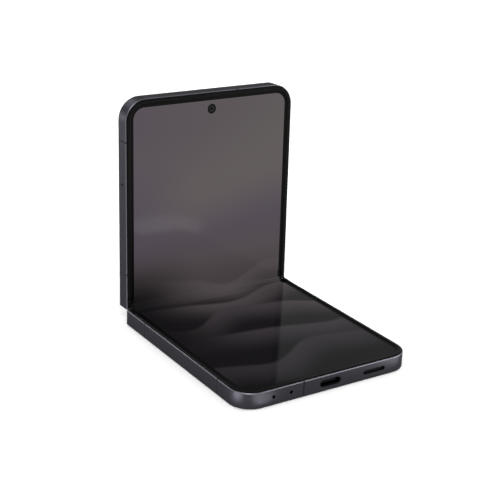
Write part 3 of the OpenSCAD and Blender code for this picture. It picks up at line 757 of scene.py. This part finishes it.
def elastomer_finish(name, banded=False):
    """Soft bezel: black elastomer with a fine orange-peel skin and a faint sheen. With banded, the
    strip beside the lit area is darker, by the UV map's way out from that area's edge."""
    finish = Finish(name, Specular_IOR_Level=0.07)
    place = finish.place()
    skin = finish.noise(place, 0.18 * MM)
    patches = finish.noise(place, 12 * MM)
    base = colours().bezel
    shades = (skin * 0.6 + patches * 0.4, tint(base, 0.75), tint(base, 1.25))
    if banded:
        shades = (finish.uv()[0].step(0.44, 0.54), tint(base, 0.2), finish.mix(*shades))
    return finish.done(*shades, patches * 0.1 + 0.42, (skin, 0.008 * MM, 0.6))


# Height, swing, period, phase and light of each ridge on the screen, from the far one to the near

CRESTS = (
    (0.545, 0.022, 0.85, 0.4, 0.92),
    (0.468, 0.028, 1.25, 2.3, 0.66),
    (0.372, 0.034, 0.95, 4.1, 0.36),
    (0.262, 0.030, 1.45, 1.1, 0.2),
    (0.140, 0.032, 1.05, 3.2, 0.08),
)


def picture(finish, across, along):
    """A generic picture for the screen: a pale dusk sky over rolling ridges. Each ridge starts at a
    crest, a sum of two sines across the screen, and darkens below it. across and along run from 0
    to 1 over the opened screen."""
    tones = colours()
    foot = finish.mix(along.step(0.52, 0.62), tint(tones.screen_ridge, 0.72), tones.screen_ridge)
    sky = finish.mix(along.step(0.55, 0.74), foot, tones.screen_dusk)
    sky = finish.mix(along.step(0.62, 0.9) * (across * 0.55 + 0.45), sky, tones.screen_sky)
    glow = along + across.wave(1.7, 0.6) * 0.035
    band = glow.step(0.66, 0.8) * glow.step(0.97, 0.8)
    shown = finish.mix(band * 0.75, sky, tones.screen_glow)
    for height, swing, period, phase, light in CRESTS:
        fine = across.wave(period * 0.47, phase * 2) * (swing * 0.3)
        below = (across.wave(period, phase) * swing + fine + height) - along
        lit = finish.mix(light, tones.screen_shade, tones.screen_ridge)
        dark = finish.mix(light * 0.3, tones.screen_depth, tones.screen_shade)
        ridge = finish.mix(below.step(0.0, 0.12), lit, dark)
        shown = finish.mix(below.step(-0.004, 0.012), shown, ridge)
    violet = across.step(0.45, 0.0) * along.step(0.55, 0.7) * along.step(0.95, 0.75)
    shown = finish.mix(violet * 0.7, shown, tones.screen_dusk)
    night = across.step(0.5, 0.02) * along.step(0.66, 0.5) * along.step(0.02, 0.3)
    return finish.mix(night * 0.95, shown, tones.screen_depth)


def screen_finish(name):
    """The bending screen, by its UV map: near-black sheet that glows with the picture inside a
    round-cornered lit area, and fine smears in its gloss."""
    finish = Finish(
        name, IOR=1.3, Specular_IOR_Level=0.12, Base_Color=srgb(5, 5, 5), Emission_Strength=1.0
    )
    across, along = finish.uv()
    x = (across - 0.5) * (2 * PANEL_HALF)
    y = (along - 0.5) * (2 * PANEL_END)
    border = sizes().lit_border
    outside = past_corner(x, y, BEZEL_HALF - border, BEZEL_END - border, LIT_CORNER)
    lit = outside.step(0.04 * MM, -0.04 * MM)
    unlit = (0.0012, 0.0012, 0.0012)
    smear = finish.smear(finish.place(), 16 * MM, 0.6)
    finish.set(
        Emission_Color=finish.mix(lit, unlit, picture(finish, across, along)),
        Roughness=smear * 0.08 + 0.05,
    )
    return finish.material


def dress(material, *nodes):
    """Gives CAD nodes a finish."""
    for node in nodes:
        for holder in frame["nodes"][node].material_slots:
            holder.material = material


def paint(piece, material):
    """Gives a new piece its finish."""
    piece.data.materials.clear()
    piece.data.materials.append(material)


def bend(piece, upper):
    """Bends a flat piece into its half-folded place, blends it across its fold axis and smooths it.
    Each point is turned about the axis by a share w of the turn, where w is the smoothstep of how
    far the turned point lies along the bend, and repeated steps find the w that agrees with
    itself."""
    flat = mesh_points(piece.data)
    slope = np.array([0, math.cos(TURN), math.sin(TURN)])
    middle = turned(np.array([0, FOLD_Y, FACE_Z]), LOW_AXIS, TURN)
    reach = sizes().bend_reach
    if upper:
        start, base, axis_point = middle, turned(flat, LOW_AXIS, TURN), HIGH_AXIS
    else:
        start, base, axis_point = middle - reach * slope, flat, LOW_AXIS
    share = np.full(len(flat), 0.5)
    for _ in range(200):
        posed = turned(base, axis_point, share * TURN)
        along = np.clip((posed - start) @ slope / reach, 0, 1)
        share = 0.5 * share + 0.5 * along * along * (3 - 2 * along)
    move_points(piece, turned(base, axis_point, share * TURN))
    if upper:
        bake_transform(piece)
    else:
        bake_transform(piece)
    smooth(piece, 40)


def crossing_strip(name, upper, sides, reach, foot, thickness):
    """Flat strips beside each other that start at the fold and run along one half, each given by
    where it starts and ends across, with their undersides at the height foot. They are bent and
    blended as the screen is."""
    way = 1 if upper else -1
    along = FOLD_Y + way * np.linspace(0, reach, max(6, round(reach / (0.1 * MM))))
    strips = []
    for start, end in sides:
        across = np.linspace(start, end, 13)[::-way]
        strip = surface(name, points_of(across, along[:, None], foot))
        thicken(strip, thickness)
        finish_modifiers(strip)
        strips.append(strip)
    piece = joined(name, *strips)
    bend(piece, upper)
    return piece


def lens_rows(radius, level, foot, steps, reach, base, swell, rings):
    """A camera glass's section as rows of (radius, height): a dome base + swell (1 - d^2) with d
    from 0 to 1 over the share reach of the radius, then rings, each a share of the radius and a
    height, and an edge down to the foot. Base, swell and rings are in millimetres from level."""
    rows = [
        (reach * radius * d, level + (base + swell * (1 - d * d)) * MM)
        for d in np.linspace(0, 1, steps)
    ]
    rows += [(share * radius, level + height * MM) for share, height in rings]
    return [*rows, (radius, foot), (0, foot)]


# Operators


class PHONE_OT_metal(bpy.types.Operator):
    """Finishes the metal bodies, the plastic bands in them, the keys and the card tray"""

    bl_idname = "phone.metal"
    bl_label = "Metal bodies and keys"

    def execute(self, context):
        tones = colours()
        # The chamfer's painted highlight is stronger on the lower half, by 1.5, than on the upper,
        # by 0.85.
        lower = metal_finish("anodised_lower", tones.metal, tint(tones.metal_edge_highlight, 1.5), False)
        upper = metal_finish("anodised_upper", tones.metal, tint(tones.metal_edge_highlight, 0.85), True)
        bands = plastic_finish("antenna_plastic", tones.antenna, shine=0.08)
        dress(lower, "lower_frame")
        dress(upper, "upper_frame", "side_key", "volume_key", "sim_tray")
        dress(steel_finish("camera_ring_metal", srgb(92, 91, 96), 0.26), "camera_rings")
        dress(bands, *both("antenna_breaks"))
        return {"FINISHED"}


class PHONE_OT_screen(bpy.types.Operator):
    """Makes the bending screen in two sheets that meet on the fold"""

    bl_idname = "phone.screen"
    bl_label = "Bending screen"

    def execute(self, context):
        material = screen_finish("lit_screen")
        for where, upper in HALVES:
            sheet = self.sheet("display_" + where, upper)
            paint(sheet, material)
            if upper:
                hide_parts("upper_screen")
            else:
                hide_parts("lower_screen", "fold_screen")
        return {"FINISHED"}

    def sheet(self, name, upper):
        """One half of the screen. Flat, its half width at a distance s from the fold is w up to the
        corner, and then w - r + sqrt(r^2 - (s - s0)^2); columns share that width evenly."""
        gap, fine = sizes().screen_gap, 6 * MM
        half, end, corner = PANEL_HALF - gap, PANEL_END - gap, PANEL_CORNER - gap
        corner_start = end - corner
        near = np.linspace(0, fine, 61)
        middle = np.linspace(fine, corner_start, 36)[1:]
        round_part = corner_start + corner * np.sin(np.linspace(0, math.pi / 2, 25)[1:])
        along = np.concatenate([near, middle, round_part])
        beyond = np.clip(along - corner_start, 0, corner)
        width = half - corner + np.sqrt(np.maximum(corner**2 - beyond**2, 0))
        way = 1 if upper else -1
        across = np.linspace(-1, 1, 73)[::way]
        y = (FOLD_Y + way * along)[:, None]
        piece = surface(name, points_of(width[:, None] * across, y, FACE_Z))
        thicken(piece, sizes().screen_sheet).use_even_offset = True
        if upper:
            self.cut_camera_hole(piece)
        finish_modifiers(piece)
        x, y, _ = mesh_points(piece.data).T
        write_uv(piece, x / (2 * PANEL_HALF) + 0.5, (y - FOLD_Y) / (2 * PANEL_END) + 0.5)
        bend(piece, upper)
        return piece

    def cut_camera_hole(self, piece):
        """Cuts the round hole over the front camera."""
        low, high = FACE_Z - 2 * MM, FACE_Z + 2 * MM
        wall = [(0, low), (CAMERA_HOLE, low), (CAMERA_HOLE, high), (0, high)]
        cutter = revolve("camera_hole_cutter", wall, middle_of("front_camera"), False, steps=64)
        hole = piece.modifiers.new("camera_hole", "BOOLEAN")
        hole.operation = "DIFFERENCE"
        hole.solver = "EXACT"
        hole.object = cutter
        finish_modifiers(piece)
        bpy.data.objects.remove(cutter)


class PHONE_OT_ribbon(bpy.types.Operator):
    """Makes the flexible ribbon that crosses the fold under the screen, and the soft seals that
    carry the screen's black border across the fold"""

    bl_idname = "phone.ribbon"
    bl_label = "Ribbon and seals at the fold"

    def execute(self, context):
        film = film_finish("ribbon_film")
        rubber = elastomer_finish("seal_elastomer")
        half, sheet = sizes().ribbon_half, sizes().screen_sheet
        inner, outer = PANEL_HALF - 0.6 * MM, BEZEL_HALF - 0.05 * MM
        for where, upper in HALVES:
            ribbon = crossing_strip(
                "ribbon_" + where, upper, [(-half, half)],
                reach=4.8 * MM, foot=FACE_Z - sheet - 0.1 * MM, thickness=0.12 * MM,
            )
            paint(ribbon, film)
            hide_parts("fold_flex")
            seal = crossing_strip(
                "fold_seal_" + where, upper, [(inner, outer), (-outer, -inner)],
                reach=0.68 * MM, foot=FACE_Z + 0.27 * MM, thickness=0.25 * MM,
            )
            paint(seal, rubber)
        blades = joined("hinge_end_seals", self.blade(-1), self.blade(1))
        paint(blades, rubber)
        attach(blades, "hinge_spine")
        return {"FINISHED"}

    def blade(self, side):
        """A thin blade between the ends of the two halves' side walls: a narrow ellipse,
        y = f + a cos t, z = m + b sin t, carried across the walls' thickness."""
        across = side * np.array([[BEZEL_HALF - PLAY], [FRAME_HALF - 0.3 * MM]])
        angle = np.linspace(0, 2 * math.pi, 24, endpoint=False)
        low, high = FACE_Z - 1.1 * MM, FACE_Z - 0.25 * MM
        y = FOLD_Y + 0.1 * MM * np.cos(angle)
        z = (low + high) / 2 + (high - low) / 2 * np.sin(angle)
        piece = surface("blade", points_of(across, y, z), ring=True, caps=True)
        move_points(piece, turned(mesh_points(piece.data), LOW_AXIS, TURN))
        smooth(piece)
        return piece


class PHONE_OT_bezels(bpy.types.Operator):
    """Makes the soft frame round each half of the screen"""

    bl_idname = "phone.bezels"
    bl_label = "Soft bezels"

    def execute(self, context):
        banded = elastomer_finish("bezel_banded", banded=True)
        plain = elastomer_finish("bezel_elastomer")
        for where, upper in HALVES:
            piece = self.trim(where + "_bezel_trim", upper)
            paint(piece, banded)
            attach(piece, "upper_half" if upper else "lower_half")
            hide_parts("upper_bezel" if upper else "lower_bezel")
            pair = [self.bumper(upper, side) for side in (-1, 1)]
            bumpers = joined(where + "_hinge_bumpers", *pair)
            paint(bumpers, plain)
            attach(bumpers, where + "_half")
            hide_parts(where + "_hinge_caps")
        return {"FINISHED"}

    def bumper(self, upper, side):
        """A small soft bumper between the bezel's end and the fold. Along the phone its top is a
        superellipse, height h (1 - |u|^3)^(1/3) with u from -1 to 1, and it sinks and shortens a
        little to each side with the fourth power of the way across."""
        low, high = opened_box("lower_hinge_caps")
        near, far = FOLD_Y - high[1] - 0.1 * MM, BEZEL_START - 0.2 * MM
        foot, top = low[2] + PLAY, BEZEL_TOP + 0.05 * MM
        inside, outside = opened_box("spine_cover")[1][0] + 0.6 * MM, FRAME_HALF - 0.32 * MM
        out = np.linspace(-1, 1, 11)[:, None]
        u = -np.cos(np.linspace(0, math.pi, 33))
        arch = (1 - np.abs(u) ** 3) ** (1 / 3)
        along = (near + far) / 2 + (far - near) / 2 * u * (1 - 0.12 * out**4)
        tall = foot + (top - foot) * (0.4 + 0.6 * arch * (1 - 0.3 * out**4))
        along = np.hstack([along, along[:, ::-1]])
        tall = np.hstack([tall, np.full_like(tall, foot)])
        x = side * ((inside + outside) / 2 + (outside - inside) / 2 * out)
        grid = points_of(x, FOLD_Y + (along if upper else -along), tall)
        return stand(surface("bumper", grid, ring=True, caps=True), upper, 45)

    def profile(self):
        """The bezel's section as rows of (way out from its inner edge, height): a thin flat lip on
        the screen, a smoothstep slope to a crown, a quarter circle over its edge, an outer wall and
        a foot beside the screen."""
        outer = sizes().lit_border
        underside, lip = FACE_Z + LIFT, FACE_Z + sizes().bezel_lip
        slope_start, slope_end = outer * 0.4, outer * 0.58
        wall, bottom, round_off = outer - PLAY, BEZEL_FOOT + PLAY, 0.34 * MM
        foot_in = PANEL_HALF - (BEZEL_HALF - outer) + 0.05 * MM
        rows = [(0, underside), (0, lip), (0.04 * MM, lip), (slope_start, lip)]
        for step in np.linspace(0, 1, 9)[1:]:
            rise = step * step * (3 - 2 * step)
            way_out = slope_start + (slope_end - slope_start) * step
            rows.append((way_out, lip + (BEZEL_TOP - lip) * rise))
        for angle in np.linspace(0, math.pi / 2, 9):
            way_out = wall - round_off * (1 - math.sin(angle))
            rows.append((way_out, BEZEL_TOP - round_off * (1 - math.cos(angle))))
        return np.array([*rows, (wall, bottom), (foot_in, bottom), (foot_in, underside)])

    def trim(self, name, upper):
        """Carries the section along a U: up one side, round two corners of radius r + d and across
        the end, where d grows with the section's way out. Near the hinge the section shrinks
        towards its middle as the height of a quarter circle, which rounds the nose."""
        outer, nose = sizes().lit_border, sizes().bezel_nose
        out, height = self.profile().T
        half, end = BEZEL_HALF - outer + out, BEZEL_END - outer + out
        radius = LIT_CORNER + out / outer * (BEZEL_CORNER - LIT_CORNER)
        tip = np.linspace(0, math.pi / 2, 9)[:, None]
        rest = np.linspace(BEZEL_START + nose, (end - radius).min(), 30)[1:, None]
        straight = np.concatenate([BEZEL_START + nose * (1 - np.cos(tip)), rest])
        quarter = np.linspace(0, math.pi / 2, 25)[1:, None]
        share = np.linspace(1, 0, 16)[1:, None]
        bend_x = half - radius + radius * np.cos(quarter)
        bend_s = end - radius + radius * np.sin(quarter)
        across = np.concatenate([half + 0 * straight, bend_x, (half - radius) * share])
        along = np.concatenate([straight + 0 * half, bend_s, end + 0 * share])
        swell = np.ones((len(across), 1))
        swell[: len(tip)] = np.maximum(np.sin(tip), 0.04)
        middle = (half.min() + half.max()) / 2
        x = middle + (across - middle) * swell
        y = FOLD_Y + (along if upper else -along)
        one_side = points_of(x, y, FACE_Z + (height - FACE_Z) * swell)
        grid = np.concatenate([one_side, one_side[-2::-1] * (-1, 1, 1)])
        piece = surface(name, grid, ring=True, caps=True)
        x, y, _ = np.abs(mesh_points(piece.data) - (0, FOLD_Y, 0)).T
        beside = np.maximum(x - (BEZEL_HALF - outer - LIT_CORNER), 0)
        beyond = np.maximum(y - (BEZEL_END - outer - LIT_CORNER), 0)
        way_out = (np.hypot(beside, beyond) - LIT_CORNER) / outer
        write_uv(piece, np.clip(way_out, 0, 1), y / BEZEL_END)
        return stand(piece, upper, 38)


class PHONE_OT_cameras(bpy.types.Operator):
    """Makes the glass over the rear cameras and the front camera, and finishes what holds them"""

    bl_idname = "phone.cameras"
    bl_label = "Camera glass"

    def execute(self, context):
        low, high = opened_box("camera_lenses")
        rings = ((0.66, 0.04), (0.72, 0.04), (0.76, -0.02), (0.95, 0), (1, 0.05))
        lenses = []
        for centre, radius in camera_pair("camera_lenses"):
            rows = lens_rows(
                radius, low[2], high[2],
                steps=13, reach=0.62, base=0, swell=-sizes().lens_rise / MM, rings=rings,
            )
            lenses.append(revolve("lens", rows, centre, True))
        glass = joined("rear_camera_glass", *lenses)
        paint(glass, lens_finish("coated_lens"))
        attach(glass, "upper_half")
        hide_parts("camera_lenses")

        rings = ((0.34, -0.06), (0.6, -0.06), (0.66, -0.01), (0.93, 0), (1, -0.04))
        rows = lens_rows(
            CAMERA_HOLE - 0.06 * MM, FACE_Z - 0.05 * MM, FACE_Z - 0.28 * MM,
            steps=9, reach=0.3, base=-0.02, swell=0.05, rings=rings,
        )
        window = revolve("front_camera_window", rows, middle_of("front_camera"), True)
        # The front camera's glass takes the same colours darkened to a tenth, as painted shade of
        # the small hole it sits in.
        paint(window, lens_finish("front_lens_shaded", light=0.1, shine=0.05))
        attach(window, "upper_half")

        dress(flash_finish("flash_window"), "flash_lens")
        body = plastic_finish("camera_body", srgb(20, 20, 22))
        dress(body, "front_camera", "main_camera", "wide_camera")
        return {"FINISHED"}


class PHONE_OT_outside(bpy.types.Operator):
    """Finishes the outside glass, the cover screen and the hinge cover"""

    bl_idname = "phone.outside"
    bl_label = "Outside glass and hinge cover"

    def execute(self, context):
        tones = colours()
        dress(back_glass_finish("satin_back_glass", tones.back_glass), "lower_back_glass")
        dress(cover_glass_finish("gloss_cover_glass", tones.cover_glass), "cover_glass")
        dress(cover_screen_finish("cover_screen_off"), "cover_screen")
        dress(steel_finish("hinge_cover_metal", srgb(78, 77, 83), 0.24, 0.05), "spine_cover")
        dress(plastic_finish("spine_cap_plastic", srgb(34, 34, 36), 0.4), "spine_end_caps")
        return {"FINISHED"}


# Name, colour, roughness and nodes of each plain metal inside the phone

BRACKETS = ("left_hinge_bracket", "right_hinge_bracket", "spine_liner")
CANS = ("shield_cans", "sim_reader", "microphones", "vibration_motor")
METALS = (
    ("support_steel", (120, 121, 124), 0.34, both("support_plate")),
    ("hinge_steel", (128, 126, 124), 0.3, both("hinge_arms") + BRACKETS),
    ("screw_steel", (150, 149, 148), 0.26, (*both("screws"), "bracket_screws")),
    ("spring_bronze", (168, 122, 78), 0.32, ("friction_leaves", "key_switches")),
    ("can_steel", (150, 151, 154), 0.36, CANS),
    # The USB socket's steel is near-black, as painted shade of its recess.
    ("socket_steel_shaded", (30, 30, 32), 0.5, ("usb_port",)),
)


class PHONE_OT_inside(bpy.types.Operator):
    """Finishes the hinge's works and everything inside the two halves"""

    bl_idname = "phone.inside"
    bl_label = "Hinge works and inner parts"

    def execute(self, context):
        for name, tone, roughness, nodes in METALS:
            dress(steel_finish(name, srgb(*tone), roughness), *nodes)
        dress(board_finish("circuit_board"), "lower_board", "main_board")
        dress(foil_finish("battery_pouch"), *both("battery"))
        dress(coil_finish("coil_wire"), "charging_coil")
        dress(plastic_finish("inner_plastic", srgb(24, 24, 26), 0.55), "loudspeaker", "earpiece")
        dress(grille_finish("speaker_weave"), "speaker_mesh")
        return {"FINISHED"}


# Name, place, width in metres and power in watts of each lamp, and whether it faces straight up

LAMPS = (
    ("key", (-0.55, -0.75, 0.95), 0.7, 7.0),
    ("fill", (0.85, -0.25, 0.75), 0.6, 3.5),
    ("back", (-0.1, 0.95, 0.6), 0.5, 3.6),
    ("left_strip", (-0.42, 0.55, 0.07), 0.18, 1.1),
    ("left_kicker", (-0.0475, -0.038, 0.001), 0.012, 0.0033, True),
    ("corner_kicker", (-0.028, -0.051, 0.001), 0.016, 0.0023, True),
    ("right_kicker", (0.04, -0.063, 0.001), 0.036, 0.016, True),
)

# Grey levels of the sky in reflections, from straight down at 0 to straight up at 1

SKY = ((0.0, 1.0), (0.1, 1.0), (0.34, 0.6), (0.53, 0.38), (0.64, 0.38), (1.0, 0.85))


class PHONE_OT_studio(bpy.types.Operator):
    """Sets the camera, the pale floor, the soft lamps and the world"""

    bl_idname = "phone.studio"
    bl_label = "Studio"

    def execute(self, context):
        scene = context.scene
        scene.view_settings.view_transform = "Standard"
        self.camera(scene)
        self.floor()
        self.world(scene)
        for lamp in LAMPS:
            self.lamp(*lamp)
        return {"FINISHED"}

    def camera(self, scene):
        """Stands the camera by azimuth, elevation and roll, as the photograph was taken."""
        setting = scene.phone_camera
        facing = Matrix.Rotation(setting.azimuth, 4, "Z")
        facing = facing @ Matrix.Rotation(math.pi / 2 - setting.elevation, 4, "X")
        facing = facing @ Matrix.Rotation(setting.roll, 4, "Z")
        lens = bpy.data.cameras.new("camera")
        lens.sensor_width = 36
        lens.lens = setting.focal_pixels * lens.sensor_width / PHOTO_SIZE
        lens.clip_start = 0.01
        lens.clip_end = 20
        camera = bpy.data.objects.new("camera", lens)
        camera.matrix_world = Matrix.Translation(setting.place) @ facing
        scene.collection.objects.link(camera)
        scene.camera = camera

    def floor(self):
        """A pale matt floor that lifts to white for the camera and in reflections, and keeps the
        phone's shadow."""
        steps = np.linspace(-3, 3, 5)
        floor = surface("studio_floor", points_of(steps, steps[:, None], -0.05 * MM))
        finish = Finish("pale_floor", Base_Color=colours().floor, Roughness=0.9)
        camera_ray = finish.add("ShaderNodeLightPath", output="Is Camera Ray")
        seen = camera_ray
        for ray in ("Is Glossy Ray", "Is Transmission Ray"):
            seen = seen.math("MAXIMUM", camera_ray.output(ray))
        across, along, _ = finish.axes(finish.place())
        far = across.away(along).step(0.2, 0.9, 0.12, 0.45)
        lift = finish.mix(far, (0, 0, 0), (1, 1, 1))
        finish.set(
            Emission_Color=finish.mix(seen, (0, 0, 0), lift), Emission_Strength=1.0,
            Specular_IOR_Level=0.0,
        )
        floor.data.materials.append(finish.material)

    def world(self, scene):
        """An even sky for light, shown as white to the camera, and with a softer band above the
        horizon in reflections."""
        scene.world = bpy.data.worlds.new("studio_world")
        scene.world.use_nodes = True
        sky = Nodes(scene.world.node_tree)
        sky.tree.nodes.clear()
        height = sky.axes(sky.add("ShaderNodeTexCoord", output="Generated"))[2]
        band = sky.add("ShaderNodeValToRGB", {"stops": SKY}, {"Fac": height})
        even, mirrored, white = (
            sky.add("ShaderNodeBackground", inputs={"Color": tone})
            for tone in ((0.7, 0.7, 0.7), band, (1, 1, 1))
        )
        glossy = sky.add("ShaderNodeLightPath", output="Is Glossy Ray")
        light = sky.add("ShaderNodeMixShader", inputs={0: glossy, 1: even, 2: mirrored})
        choice = {0: glossy.output("Is Camera Ray"), 1: light, 2: white}
        shown = sky.add("ShaderNodeMixShader", inputs=choice)
        sky.add("ShaderNodeOutputWorld", inputs={"Surface": shown})

    def lamp(self, name, place, width, power, upward=False):
        """A round soft lamp that faces the phone, or straight up where it lies on the floor."""
        light = bpy.data.lights.new(name, "AREA")
        light.shape = "DISK"
        light.size = width
        light.energy = power
        lamp = bpy.data.objects.new(name, light)
        aim = Vector((0, 0, 1)) if upward else Vector((0, 0.03, 0.03)) - Vector(place)
        facing = aim.to_track_quat("-Z", "Y").to_matrix().to_4x4()
        lamp.matrix_world = Matrix.Translation(place) @ facing
        lamp.visible_camera = False
        bpy.context.scene.collection.objects.link(lamp)


OPERATORS = (
    PHONE_OT_metal,
    PHONE_OT_screen,
    PHONE_OT_ribbon,
    PHONE_OT_bezels,
    PHONE_OT_cameras,
    PHONE_OT_outside,
    PHONE_OT_inside,
    PHONE_OT_studio,
)

GROUPS = {"phone_sizes": PhoneSizes, "phone_colours": PhoneColours, "phone_camera": PhoneCamera}


class PHONE_PT_sidebar(bpy.types.Panel):
    """Lists the steps that finish the phone"""

    bl_idname = "PHONE_PT_sidebar"
    bl_label = "Foldable Phone"
    bl_space_type = "VIEW_3D"
    bl_region_type = "UI"
    bl_category = "Foldable Phone"

    def draw(self, context):
        for name in GROUPS:
            group = getattr(context.scene, name)
            box = self.layout.box()
            for key in group.bl_rna.properties.keys():
                if key not in ("rna_type", "name"):
                    box.prop(group, key)
        for step in OPERATORS:
            self.layout.operator(step.bl_idname, text=step.bl_label)


def register():
    for kind in (*GROUPS.values(), *OPERATORS, PHONE_PT_sidebar):
        bpy.utils.register_class(kind)
    for name, kind in GROUPS.items():
        setattr(bpy.types.Scene, name, PointerProperty(type=kind))


def unregister():
    for name in GROUPS:
        delattr(bpy.types.Scene, name)
    for kind in (PHONE_PT_sidebar, *reversed(OPERATORS), *GROUPS.values()):
        bpy.utils.unregister_class(kind)


def main():
    """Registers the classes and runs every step."""
    register()
    for step in OPERATORS:
        group, action = step.bl_idname.split(".")
        getattr(getattr(bpy.ops, group), action)()


if __name__ == "__main__":
    main()
